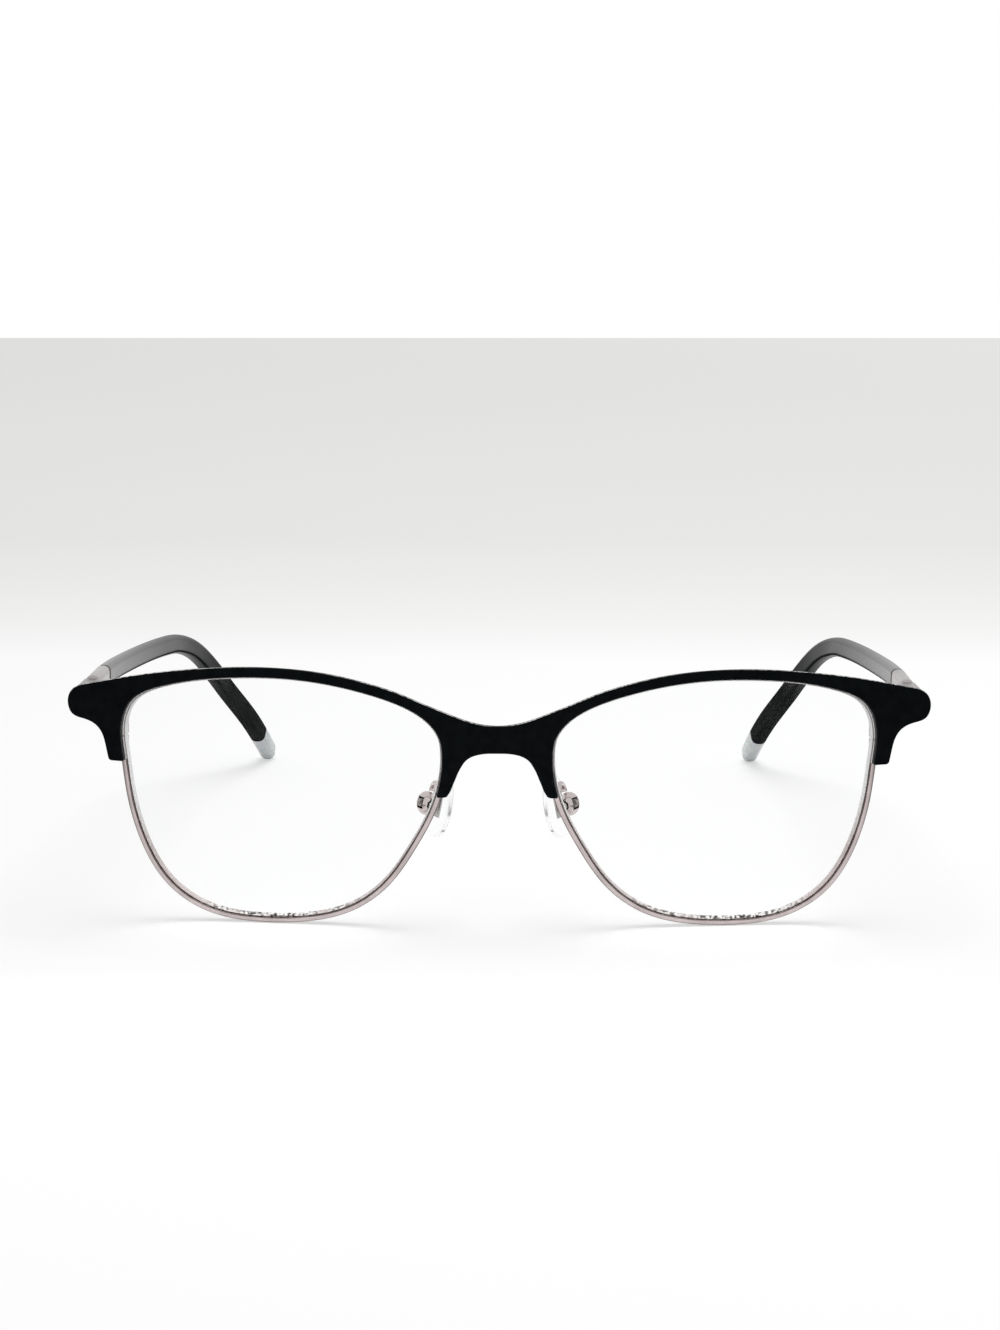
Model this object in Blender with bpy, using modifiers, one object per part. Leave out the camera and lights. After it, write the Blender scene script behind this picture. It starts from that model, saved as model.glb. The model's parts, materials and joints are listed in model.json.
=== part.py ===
# Cat-eye eyeglasses: a thin metal brow plate on two wire rims, with nose pads and folding temples.
# Lengths are in metres. X is across the face with the wearer's left at +X, Y runs back, Z is up.
# The glasses stand open on the bottoms of the rims and the tips of the temples.

import math

import bmesh
import bpy
import numpy as np
from mathutils import Matrix, Vector

# Lenses and the wire rims round them
lens_width = 0.0531
lens_height = 0.0411
bridge_width = 0.0169
lens_thickness = 0.0014
lens_seat = 0.0004
lens_clearance = 0.00008
rim_width = 0.0009
rim_depth = 0.0019
rim_chamfer = 0.00015
groove_mouth = 0.0009

# The brow plate and how the whole front curves and leans
plate_thickness = 0.0010
end_reach = 0.0086
brow_height = 0.0017
temporal_corner = 0.0005
nasal_corner = 0.0008
front_radius = 0.132
curve_apex = 0.0235
bridge_blend = 0.006
lean_angle = math.radians(3)

# The block and screw that close each rim
lock_gap = 0.0002
lock_width = 0.0026
lock_back = 0.0008
lock_inset = 0.0001
upper_lock_height = 0.0028
lower_lock_height = 0.0017
lock_screw_radius = 0.0004
lock_screw_head_radius = 0.0007
lock_screw_head_height = 0.0005

# Nose pads
pad_length = 0.0110
pad_width = 0.0063
pad_thickness = 0.0019
pad_flare_share = 0.16
pad_yaw = math.radians(34)
pad_splay = math.radians(14)
pad_gap = 0.0004
cup_radius = 0.00195
cup_length = 0.0027
cup_rounding = 0.0010
cup_setback = 0.0085
cup_outset = 0.0032
arm_radius = 0.00045
arm_rise = 0.0018
arm_offset = 0.0005
arm_gap = 0.0001
pad_screw_radius = 0.0004
pad_screw_head_radius = 0.0007
pad_screw_head_height = 0.0005
insert_width = 0.0013
insert_height = 0.0013
insert_plate_length = 0.0042
insert_plate_width = 0.0024
insert_plate_thickness = 0.0003
insert_end = 0.0010
slot_play = 0.0003

# End piece and hinge
lug_inset = 0.0022
lug_length = 0.0044
lug_arm_thickness = 0.0011
temple_thickness = 0.0023
temple_height = 0.0036
edge_rounding = 0.0003
barrel_radius = 0.0011
barrel_height = 0.0024
barrel_gap = 0.0001
knuckle_gap = 0.00005
leaf_length = 0.0028
leaf_thickness = 0.0008
leaf_margin = 0.0001
hinge_screw_radius = 0.0006
hinge_screw_head_radius = 0.0010
hinge_screw_head_height = 0.0004
hinge_drop = 0.0006

# Temples
head_length = 0.0104
temple_reach = 0.1265
temple_inset = 0.0155
ear_thickness = 0.0032
ear_height = 0.0040
core_thickness = 0.0009
core_height = 0.0014
tip_length = 0.0112
core_stop = 0.0165
dome_length = 0.0009

# Fits and finish
seat_gap = 0.00005
screw_clearance = 0.00005
overrun = 0.0010
slot_width = 0.0002
slot_depth = 0.0002
facet_length = 0.0062
bend_spacing = 0.0080
snap = 0.00002
round_sides = 20
small_round_sides = 14
rim_stations = 62
edge_stations = 46
arch_stations = 12
arm_stations = 16
sleeve_stations = 26
curve_steps = 24

# The edge of the lens opening, anticlockwise from the lower nose side, as shares of its width and height
opening_shares = (
    (0.095, 0.315), (0.183, 0.153), (0.302, 0.047), (0.438, 0.006), (0.576, 0.000), (0.719, 0.029),
    (0.847, 0.133), (0.929, 0.307), (0.974, 0.515), (0.990, 0.660), (0.998, 0.757), (0.991, 0.822),
    (0.970, 0.878), (0.933, 0.918), (0.885, 0.944), (0.791, 0.975), (0.635, 0.998), (0.503, 1.000),
    (0.375, 0.984), (0.234, 0.944), (0.152, 0.909), (0.067, 0.852), (0.031, 0.810), (0.007, 0.758),
    (0.000, 0.698), (0.006, 0.590), (0.036, 0.462),
)

# The plate's upper and outer edge, from the middle out and down to the temporal leg. Across, 0 to 1
# spans half the bridge, 1 to 2 the lens and 2 to 3 the end piece, and the height is a share of the front's
outer_edge_shares = (
    (0.000, 0.784), (0.476, 0.798), (0.952, 0.833), (1.068, 0.872), (1.144, 0.912), (1.220, 0.9425),
    (1.333, 0.976), (1.447, 0.9945), (1.561, 1.000), (1.674, 0.995), (1.788, 0.981), (1.902, 0.960),
    (2.094, 0.931), (2.561, 0.909), (2.795, 0.896), (2.912, 0.886), (2.980, 0.868), (3.000, 0.842),
    (2.985, 0.813), (2.930, 0.7915), (2.840, 0.779), (2.720, 0.773), (2.560, 0.765), (2.430, 0.751),
    (2.336, 0.730), (2.275, 0.703), (2.225, 0.662), (2.193, 0.634),
)
temporal_leg_share = 0.620
temporal_leg_across_share = 2.175

# The nose arch, from the bottom of the nasal leg up to the middle
arch_shares = (
    (0.932, 0.524), (0.886, 0.538), (0.837, 0.562), (0.786, 0.586), (0.736, 0.610), (0.670, 0.634),
    (0.595, 0.654), (0.476, 0.669), (0.357, 0.676), (0.200, 0.680), (0.000, 0.6805),
)
nasal_leg_share = 0.5145
nasal_leg_across_share = 0.952

# How much wider the front is at its bottom, and narrower at its top, than at half the lens's height
taper_share = 0.006

# Heights on the front, as shares of its height
lock_height_share = 0.714
cup_height_share = 0.446
arm_root_share = 0.497
temple_height_share = 0.871

# The temple's middle line behind the hinge: how far back, inward and down it has gone
temple_shares = (
    (0.000, 0.000, 0.000), (0.044, 0.000, 0.000), (0.0875, 0.000, 0.002), (0.2375, 0.022, 0.030),
    (0.4375, 0.072, 0.084), (0.5875, 0.124, 0.135), (0.6625, 0.176, 0.173), (0.7208, 0.284, 0.237),
    (0.7792, 0.445, 0.372), (0.829, 0.615, 0.531), (0.8875, 0.825, 0.718), (0.954, 0.965, 0.906),
    (1.000, 1.000, 1.000),
)
# Along the temple, from the front section's thickness and height (0) to the ear part's (1)
swell_shares = ((0.0, 0.0), (0.42, 0.0), (0.62, 0.30), (0.74, 0.85), (0.84, 1.0), (1.0, 1.0))
# The radius of a temple's long edges, as a share of its thinner side
edge_share = 0.36
# The rounded end of the temple: how far along the end, and how much of the section is left
tip_end_shares = ((0.0, 1.0), (0.35, 0.94), (0.65, 0.76), (0.87, 0.50), (1.0, 0.16))
# The joint between sleeve and tip bulges back: how far along the bulge, and how much of the section
dome_shares = ((0.0, 1.0), (0.45, 0.80), (0.85, 0.45), (1.0, 0.10))
# The pad arm between its root on the rim and the cup: how far along, and how much of its rise
arm_shares = (
    (0.0, 0.0), (0.08, 0.0), (0.20, 0.34), (0.36, 0.84), (0.55, 1.0), (0.76, 0.90), (0.93, 0.60),
    (1.0, 0.27), (1.0, 0.0),
)

# Colour, roughness, metallic and alpha of each finish
finishes = {
    "satin black": ((0.010, 0.011, 0.012), 0.38, 0.2, 1.0),
    "rose metal": ((0.72, 0.58, 0.57), 0.25, 1.0, 1.0),
    "steel": ((0.62, 0.61, 0.60), 0.30, 1.0, 1.0),
    "clear lens": ((0.95, 0.97, 0.97), 0.02, 0.0, 0.15),
    "clear silicone": ((0.93, 0.94, 0.94), 0.12, 0.0, 0.45),
    "black acetate": ((0.015, 0.016, 0.016), 0.12, 0.0, 1.0),
    "grey acetate": ((0.60, 0.62, 0.62), 0.22, 0.0, 1.0),
}

opening_low = np.array([bridge_width / 2 + lens_seat, rim_width])
opening_size = np.array([lens_width - 2 * lens_seat, lens_height - 2 * lens_seat])
front_height = opening_low[1] + opening_size[1] + brow_height
half_width = bridge_width / 2 + lens_width + end_reach
curve_height = rim_width + opening_size[1] / 2
rim_front = plate_thickness + seat_gap
rim_middle = rim_front + rim_depth / 2
rim_back = rim_front + rim_depth
inner_face = barrel_radius + barrel_gap
outer_face = inner_face + temple_thickness
temple_middle = (inner_face + outer_face) / 2

for thing in list(bpy.data.objects):
    bpy.data.objects.remove(thing)
parts = bpy.data.collections.new("eyeglasses")
tools = bpy.data.collections.new("eyeglasses cutters")
bpy.context.scene.collection.children.link(parts)
bpy.context.scene.collection.children.link(tools)


# Curves

def smooth_line(points, closed=False):
    # A cubic spline through the points, as a dense line of them
    knots = np.array(points, float)
    if closed:
        knots = np.vstack([knots, knots[:1]])
    gaps = np.linalg.norm(np.diff(knots, axis=0), axis=1)
    last = len(knots) - 1
    matrix = np.eye(last + 1)
    right = np.zeros_like(knots)
    slopes = np.diff(knots, axis=0) / gaps[:, None]
    for i in range(1, last):
        matrix[i, i - 1:i + 2] = gaps[i - 1], 2 * (gaps[i - 1] + gaps[i]), gaps[i]
        right[i] = 6 * (slopes[i] - slopes[i - 1])
    if closed:
        matrix[0, :2] = 2 * (gaps[-1] + gaps[0]), gaps[0]
        matrix[0, last - 1] = gaps[-1]
        right[0] = 6 * (slopes[0] - slopes[-1])
        matrix[last, 0] = -1
    bends = np.linalg.solve(matrix, right)
    line = []
    for i in range(last):
        for along in np.linspace(0, gaps[i], curve_steps, endpoint=False):
            left = gaps[i] - along
            line.append(
                (bends[i] * left ** 3 + bends[i + 1] * along ** 3) / (6 * gaps[i])
                + (knots[i] / gaps[i] - bends[i] * gaps[i] / 6) * left
                + (knots[i + 1] / gaps[i] - bends[i + 1] * gaps[i] / 6) * along
            )
    line.append(knots[-1])
    return np.array(line)


def stations(line, count, shape_columns):
    # Points along a dense line, closer together where it bends
    legs = np.diff(line[:, :shape_columns], axis=0)
    lengths = np.linalg.norm(legs, axis=1)
    headings = legs / lengths[:, None]
    cosines = np.clip((headings[1:] * headings[:-1]).sum(axis=1), -1, 1)
    turns = np.concatenate([[0], np.arccos(cosines)])
    reach = np.concatenate([[0], np.cumsum(lengths + bend_spacing * turns)])
    wanted = np.linspace(0, reach[-1], count)
    columns = [np.interp(wanted, reach, line[:, column]) for column in range(line.shape[1])]
    return np.stack(columns, axis=1)


def opening_line():
    # The inner edge of a rim from its lock, up and round: x, z and the direction outward
    line = smooth_line(opening_low + opening_size * np.array(opening_shares), closed=True)[:-1]
    temporal = line[:, 0] > opening_low[0] + opening_size[0] / 2
    misses = np.where(temporal, np.abs(line[:, 1] - front_height * lock_height_share), np.inf)
    line = np.roll(line, -int(np.argmin(misses)), axis=0)
    line = np.vstack([line, line[:1]])
    around = np.vstack([line[-2], line, line[1]])
    tangents = around[2:] - around[:-2]
    tangents /= np.linalg.norm(tangents, axis=1)[:, None]
    outward = np.stack([tangents[:, 1], -tangents[:, 0]], axis=1)
    return np.hstack([line, outward])


opening_stations = stations(opening_line(), rim_stations + 1, 2)


def across(share):
    spans = np.cumsum((0, bridge_width / 2, lens_width, end_reach))
    return float(np.interp(share, (0, 1, 2, 3), spans))


def front_points(shares):
    return [np.array((across(side_share), front_height * up_share)) for side_share, up_share in shares]


def corner(before, at, after, size):
    # Rounds a corner of an outline with a short curve
    start = at + (before - at) * min(size / np.linalg.norm(before - at), 0.9)
    end = at + (after - at) * min(size / np.linalg.norm(after - at), 0.9)
    return [start * (1 - t) ** 2 + at * 2 * t * (1 - t) + end * t ** 2 for t in np.linspace(0, 1, 5)]


def plate_outline():
    # The left half from the top middle round to the nose arch, then its mirror image
    upper = front_points(outer_edge_shares)
    mirrored = [point * (-1, 1) for point in upper[2:0:-1]]
    edge = smooth_line(mirrored + upper)
    edge = stations(edge[2 * curve_steps:], edge_stations, 2)
    arch = front_points(arch_shares)
    mirrored = [point * (-1, 1) for point in arch[-2:-4:-1]]
    nose = smooth_line(arch + mirrored)
    nose = stations(nose[:(len(arch) - 1) * curve_steps + 1], arch_stations, 2)
    temporal_low = front_height * temporal_leg_share
    nasal_low = front_height * nasal_leg_share
    middle = opening_low[0] + opening_size[0] / 2
    over = [point[:2] for point in opening_stations
            if point[1] > (temporal_low + temporal_corner if point[0] > middle else nasal_low + nasal_corner)]
    below = opening_stations[-int(rim_stations / 8):]
    foot = np.interp(temporal_low, below[:, 1], below[:, 0])
    lower_side = [point[:2] for point in below if point[1] > temporal_low + temporal_corner]
    over = [point for point in over if not any(np.array_equal(point, other) for other in lower_side)]
    inner = np.array((foot, temporal_low))
    outer = np.array((across(temporal_leg_across_share), temporal_low))
    nasal = opening_stations[(opening_stations[:, 0] < middle) & (opening_stations[:, 1] < over[-1][1])][0]
    share = (over[-1][1] - nasal_low) / (over[-1][1] - nasal[1])
    nasal_inner = over[-1] + (nasal[:2] - over[-1]) * share
    nasal_outer = np.array((across(nasal_leg_across_share), nasal_low))
    half = list(edge)
    half += corner(edge[-1], outer, inner, temporal_corner)
    half += corner(outer, inner, lower_side[0], temporal_corner)
    half += lower_side + over
    half += corner(over[-1], nasal_inner, nasal_outer, temporal_corner)
    half += corner(nasal_inner, nasal_outer, nose[0], nasal_corner)
    half += list(nose)
    return half + [point * (-1, 1) for point in half[-2:0:-1]]


# Shapes

def loft(rings):
    # A closed skin over rings of points, with a flat cap at each end
    shape = bmesh.new()
    rows = [[shape.verts.new(point) for point in ring] for ring in rings]
    for one, two in zip(rows, rows[1:]):
        for i, vertex in enumerate(one):
            following = (i + 1) % len(one)
            shape.faces.new((vertex, one[following], two[following], two[i]))
    shape.faces.new(rows[0])
    shape.faces.new(rows[-1])
    return shape


def box(low, high):
    low = Vector(low)
    high = Vector(high)
    shape = bmesh.new()
    place = Matrix.Translation((low + high) / 2) @ Matrix.Diagonal((high - low).to_4d())
    bmesh.ops.create_cube(shape, size=1, matrix=place)
    return shape


def cylinder(start, end, radius, sides=round_sides):
    start = Vector(start)
    end = Vector(end)
    turn = Vector((0, 0, 1)).rotation_difference(end - start).to_matrix().to_4x4()
    shape = bmesh.new()
    bmesh.ops.create_cone(
        shape, cap_ends=True, segments=sides, radius1=radius, radius2=radius,
        depth=(end - start).length, matrix=Matrix.Translation((start + end) / 2) @ turn,
    )
    return shape


def outline_solid(outline, low, high, flat_on_front):
    # A flat outline with a thickness, made from a filled curve, either facing front or lying flat
    curve = bpy.data.curves.new("outline", "CURVE")
    curve.dimensions = "2D"
    curve.fill_mode = "BOTH"
    curve.extrude = (high - low) / 2
    spline = curve.splines.new("POLY")
    spline.points.add(len(outline) - 1)
    for point, place in zip(spline.points, outline):
        point.co = (place[0], place[1], 0, 1)
    spline.use_cyclic_u = True
    holder = bpy.data.objects.new("outline", curve)
    bpy.context.scene.collection.objects.link(holder)
    bpy.context.view_layer.update()
    mesh = bpy.data.meshes.new_from_object(holder.evaluated_get(bpy.context.evaluated_depsgraph_get()))
    shape = bmesh.new()
    shape.from_mesh(mesh)
    bmesh.ops.remove_doubles(shape, verts=shape.verts, dist=snap / 10)
    middle = (low + high) / 2
    if flat_on_front:
        place = Matrix.Translation((0, middle, 0)) @ Matrix.Rotation(math.radians(90), 4, "X")
    else:
        place = Matrix.Translation((0, 0, middle))
    bmesh.ops.transform(shape, matrix=place, verts=shape.verts)
    bpy.data.objects.remove(holder)
    bpy.data.curves.remove(curve)
    bpy.data.meshes.remove(mesh)
    return shape


def slice_up(shape):
    # Cuts the faces into strips, so that the shape can follow the curve of the front
    for axis in (0, 2):
        places = [vertex.co[axis] for vertex in shape.verts]
        count = math.ceil((max(places) - min(places)) / facet_length)
        for place in np.linspace(min(places), max(places), count + 1)[1:-1]:
            normal = Vector((0, 0, 0))
            normal[axis] = 1
            bmesh.ops.bisect_plane(
                shape, geom=shape.verts[:] + shape.edges[:] + shape.faces[:], dist=snap,
                plane_co=normal * place, plane_no=normal,
            )
    bmesh.ops.triangulate(shape, faces=shape.faces)


def tapered(x, z):
    return x * (1 + taper_share * (1 - z / curve_height))


def front_axes(x, z):
    # The directions right, back and up on the curved front
    reach = math.hypot(x, bridge_blend)
    slope_across = (reach - curve_apex) / front_radius * x / reach
    slope_up = (z - curve_height) / front_radius
    back = Vector((-slope_across, 1, -slope_up)).normalized()
    right = Vector((1, slope_across, 0)).normalized()
    return right, back, right.cross(back)


def onto_front(x, depth, z):
    # Where a point of the flat drawing lies on the curved front, depth being square to it
    x = tapered(x, z)
    reach = math.hypot(x, bridge_blend)
    rise = ((reach - curve_apex) ** 2 + (z - curve_height) ** 2) / (2 * front_radius)
    return Vector((x, rise, z)) + front_axes(x, z)[1] * depth


def bend(shape):
    for vertex in shape.verts:
        vertex.co = onto_front(*vertex.co)


# Pieces

def mesh_from(name, shape):
    bmesh.ops.recalc_face_normals(shape, faces=shape.faces)
    mesh = bpy.data.meshes.new(name)
    shape.to_mesh(mesh)
    shape.free()
    mesh.shade_smooth()
    mesh.set_sharp_from_angle(angle=math.radians(35))
    return mesh


def material_for(name, finish):
    colour, roughness, metallic, alpha = finishes[finish]
    material = bpy.data.materials.new(name)
    material.use_nodes = True
    shader = material.node_tree.nodes["Principled BSDF"]
    shader.inputs["Base Color"].default_value = (*colour, 1)
    shader.inputs["Roughness"].default_value = roughness
    shader.inputs["Metallic"].default_value = metallic
    shader.inputs["Alpha"].default_value = alpha
    return material


def add_piece(name, shape, finish, parent):
    piece = bpy.data.objects.new(name, mesh_from(name, shape))
    parts.objects.link(piece)
    piece.parent = parent
    piece.data.materials.append(material_for(name, finish))
    return piece


def add_tool(name, shape, parent):
    tool = bpy.data.objects.new(name, mesh_from(name, shape))
    tools.objects.link(tool)
    tool.parent = parent
    tool.hide_render = True
    tool.display_type = "WIRE"
    return tool


def combine(piece, tool_name, shape, operation):
    tool = add_tool(piece.name + "_" + tool_name, shape, piece.parent)
    modifier = piece.modifiers.new(tool_name, "BOOLEAN")
    modifier.solver = "EXACT"
    modifier.operation = operation
    modifier.object = tool


def round_edges(piece, width, segments=2):
    modifier = piece.modifiers.new("rounded edges", "BEVEL")
    modifier.width = width
    modifier.segments = segments
    modifier.limit_method = "ANGLE"


def add_frame(name, parent, location, rotation=(0, 0, 0)):
    frame = bpy.data.objects.new(name, None)
    frame.empty_display_size = facet_length
    parts.objects.link(frame)
    frame.parent = parent
    frame.location = location
    frame.rotation_euler = rotation
    bpy.context.view_layer.update()
    return frame


def add_screw(name, parent, along, places, radii, finish):
    # A turned screw along one axis: shank end, under the head and top of the head, with a driver slot
    shank_end, under_head, top = places
    direction = Vector((0, 0, 0))
    direction[along] = 1
    width = Vector((radii[1], radii[1], radii[1])) + Vector((overrun, overrun, overrun))
    screw = add_piece(name, cylinder(direction * shank_end, direction * top, radii[0]), finish, parent)
    combine(screw, "head", cylinder(direction * under_head, direction * top, radii[1]), "UNION")
    outward = math.copysign(1, top - under_head)
    low = -width
    high = width.copy()
    low[(along + 1) % 3] = -slot_width / 2
    high[(along + 1) % 3] = slot_width / 2
    low[along] = top - outward * slot_depth
    high[along] = top + outward * overrun
    combine(screw, "slot", box(low, high), "DIFFERENCE")
    return screw


# Front

def rim_section():
    # Outward and depth, round the wire from its front inner edge
    outer = rim_width - rim_chamfer
    groove = lens_seat + lens_clearance
    return (
        (0, rim_front), (outer, rim_front), (rim_width, rim_front + rim_chamfer),
        (rim_width, rim_back - rim_chamfer), (outer, rim_back), (0, rim_back),
        (0, rim_middle + groove_mouth / 2), (groove, rim_middle), (0, rim_middle - groove_mouth / 2),
    )


def make_rim(name, side, front):
    line = opening_stations.copy()
    line[0, 1] += lock_gap / 2
    line[-1, 1] -= lock_gap / 2
    rings = [
        [(side * (x + out * out_x), depth, z + out * out_z) for out, depth in rim_section()]
        for x, z, out_x, out_z in line
    ]
    shape = loft(rings)
    bend(shape)
    return add_piece(name + "rim", shape, "rose metal", front)


def make_lens(name, side, front):
    # The bevelled edge follows the rim's groove, a clearance away from it all round
    groove_side = groove_mouth / 2
    section = (
        (-lens_clearance, rim_middle - lens_thickness / 2), (-lens_clearance, rim_middle - groove_side),
        (lens_seat, rim_middle),
        (-lens_clearance, rim_middle + groove_side), (-lens_clearance, rim_middle + lens_thickness / 2),
    )
    rings = [
        [(side * (x + out * out_x), depth, z + out * out_z) for x, z, out_x, out_z in opening_stations[:-1]]
        for out, depth in section
    ]
    shape = loft(rings)
    slice_up(shape)
    bend(shape)
    add_piece(name + "lens", shape, "clear lens", front)


def make_plate(front):
    shape = outline_solid(plate_outline(), 0, plate_thickness, True)
    slice_up(shape)
    bend(shape)
    add_piece("brow_plate", shape, "satin black", front)


def make_lock(name, side, front):
    # Two blocks beside and behind the split in the rim, and the screw that draws them together
    x, z = opening_stations[0][:2]
    right, back, up = front_axes(side * x, z)
    turned = Matrix((right, back, up)).transposed().to_euler()
    frame = add_frame(name + "lock_frame", front, onto_front(side * x, 0, z), turned)
    beside = rim_width + seat_gap
    behind = rim_back + seat_gap
    deepest = behind + lock_back
    outline = [
        (beside, rim_front), (lock_width, rim_front), (lock_width, deepest),
        (lock_inset, deepest), (lock_inset, behind), (beside, behind),
    ]
    outline = [(side * across_here, depth) for across_here, depth in outline]
    screw_x = side * (beside + lock_width) / 2
    screw_y = (rim_front + deepest) / 2
    edge = lock_gap / 2
    blocks = (
        ("rim_lock_upper", edge, edge + upper_lock_height),
        ("rim_lock_lower", -edge - lower_lock_height, -edge),
    )
    for block, low, high in blocks:
        piece = add_piece(name + block, outline_solid(outline, low, high, False), "rose metal", frame)
        bore = cylinder(
            (screw_x, screw_y, low - overrun), (screw_x, screw_y, high + overrun),
            lock_screw_radius + screw_clearance, small_round_sides,
        )
        combine(piece, "bore", bore, "DIFFERENCE")
    seat = -edge - lower_lock_height - seat_gap
    screw_frame = add_frame(name + "lock_screw_frame", frame, (screw_x, screw_y, 0))
    add_screw(
        name + "lock_screw", screw_frame, 2, (edge + upper_lock_height, seat, seat - lock_screw_head_height),
        (lock_screw_radius, lock_screw_head_radius), "steel",
    )


# Nose pads

def make_pad(name, side, front):
    # The cup's frame has x across the pad, y along the screw and z up the pad
    height = front_height * cup_height_share
    place = Vector((side * (bridge_width / 2 + cup_outset), cup_setback, height))
    turned = (0, -side * pad_splay, -side * pad_yaw)
    fixed = add_frame(name + "cup_frame", front, place, turned)
    pivot = add_frame(name + "pad_pivot", fixed, (0, 0, 0))
    half = cup_length / 2
    cup = add_piece(name + "pad_cup", cylinder((-half, 0, 0), (half, 0, 0), cup_radius), "rose metal", fixed)
    round_edges(cup, cup_rounding)
    slot_side = insert_width / 2 + slot_play / 2
    slot_low = (-side * (half + overrun), -slot_side, -insert_height / 2 - slot_play)
    slot_high = (side * (insert_end + slot_play), slot_side, insert_height / 2 + slot_play)
    combine(cup, "slot", box(slot_low, slot_high), "DIFFERENCE")
    reach = cup_radius + overrun
    bore = cylinder((0, -reach, 0), (0, reach, 0), pad_screw_radius + screw_clearance, small_round_sides)
    combine(cup, "bore", bore, "DIFFERENCE")
    under_head = -cup_radius + pad_screw_head_height / 2
    recess = cylinder(
        (0, -reach, 0), (0, under_head + seat_gap, 0), pad_screw_head_radius + seat_gap, small_round_sides
    )
    combine(cup, "recess", recess, "DIFFERENCE")
    ends = (cup_radius - cup_rounding, under_head, under_head - pad_screw_head_height)
    add_screw(
        name + "pad_screw", fixed, 1, ends,
        (pad_screw_radius, pad_screw_head_radius), "steel",
    )
    make_pad_on_insert(name, side, pivot)
    make_arm(name, side, front, fixed)


def make_pad_on_insert(name, side, pivot):
    back = cup_length / 2 + pad_gap
    middle = back + pad_thickness / 2
    pad = bmesh.new()
    bmesh.ops.create_uvsphere(pad, u_segments=20, v_segments=12, radius=1)
    for vertex in pad.verts:
        x, y, z = vertex.co
        fullness = 1 - pad_flare_share * z
        vertex.co = (
            -side * middle + math.copysign(abs(x) ** 0.7, x) * pad_thickness / 2,
            y * fullness * pad_width / 2,
            z * pad_length / 2,
        )
    piece = add_piece(name + "nose_pad", pad, "clear silicone", pivot)
    pocket_y = insert_plate_width / 2 + seat_gap
    pocket_z = insert_plate_length / 2 + seat_gap
    pocket_depth = back + 2 * insert_plate_thickness + seat_gap
    pocket = box((0, -pocket_y, -pocket_z), (-side * pocket_depth, pocket_y, pocket_z))
    combine(piece, "pocket", pocket, "DIFFERENCE")
    tab = box(
        (side * insert_end, -insert_width / 2, -insert_height / 2),
        (-side * (back + insert_plate_thickness * 3 / 2), insert_width / 2, insert_height / 2),
    )
    insert = add_piece(name + "pad_insert", tab, "steel", pivot)
    plate = box(
        (-side * (back + insert_plate_thickness), -insert_plate_width / 2, -insert_plate_length / 2),
        (-side * (back + 2 * insert_plate_thickness), insert_plate_width / 2, insert_plate_length / 2),
    )
    combine(insert, "plate", plate, "UNION")
    eye = cylinder(
        (0, -insert_width, 0), (0, insert_width, 0), pad_screw_radius + screw_clearance, small_round_sides
    )
    combine(insert, "eye", eye, "DIFFERENCE")


def make_arm(name, side, front, fixed):
    # A bent wire from the back of the rim, up and over to the top of the cup
    height = front_height * arm_root_share
    middle = opening_low[0] + opening_size[0] / 2
    nasal = opening_stations[opening_stations[:, 0] < middle]
    x = np.interp(height, nasal[::-1, 1], nasal[::-1, 0]) - rim_width / 2
    start = onto_front(side * x, rim_back + seat_gap, height)
    end = fixed.matrix_local @ Vector((-side * arm_offset, 0, cup_radius + arm_gap))
    up = fixed.matrix_local.to_3x3() @ Vector((0, 0, arm_rise))
    points = [start.lerp(end, along) + up * risen for along, risen in arm_shares]
    line = smooth_line(points)
    curve = bpy.data.curves.new(name + "pad_arm", "CURVE")
    curve.dimensions = "3D"
    curve.bevel_depth = arm_radius
    curve.bevel_resolution = 2
    curve.use_fill_caps = True
    spline = curve.splines.new("POLY")
    places = stations(line, arm_stations, 3)
    spline.points.add(len(places) - 1)
    for point, place in zip(spline.points, places):
        point.co = (*place, 1)
    arm = bpy.data.objects.new(name + "pad_arm", curve)
    parts.objects.link(arm)
    arm.parent = front
    curve.materials.append(material_for(name + "pad_arm", "rose metal"))


# End piece and hinge

def plate_back(front, x, z):
    # How far back the rear of the plate is, at a place given square to the axes
    flat_x, flat_z = x, z
    for _ in range(12):
        point = front.matrix_local @ onto_front(flat_x, plate_thickness + seat_gap, flat_z)
        flat_x += x - point.x
        flat_z += z - point.z
    return point.y


def make_end_piece(name, side, root, front, hinge):
    # A flat arm on the back of the plate that turns back as a lug to carry the hinge
    low = hinge.location.z - temple_height / 2
    outer = side * hinge.location.x + outer_face
    inner = side * hinge.location.x + inner_face
    rim_edge = opening_stations[:, 0].max() + rim_width
    butt = hinge.location.y - seat_gap
    rings = []
    for z in np.linspace(low, low + temple_height, 4):
        places = np.linspace(rim_edge, outer, 5)
        front_edge = [(x, plate_back(front, x, z)) for x in places]
        turn = plate_back(front, inner, z) + lug_arm_thickness
        ring = front_edge + [
            (outer, butt), (inner, butt), (inner, turn + lug_arm_thickness / 3),
            (inner - lug_arm_thickness / 3, turn),
            (rim_edge, plate_back(front, rim_edge, z) + lug_arm_thickness),
        ]
        rings.append([(side * x, y, z) for x, y in ring])
    piece = add_piece(name + "end_piece", loft(rings), "rose metal", root)
    round_edges(piece, edge_rounding)


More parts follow.
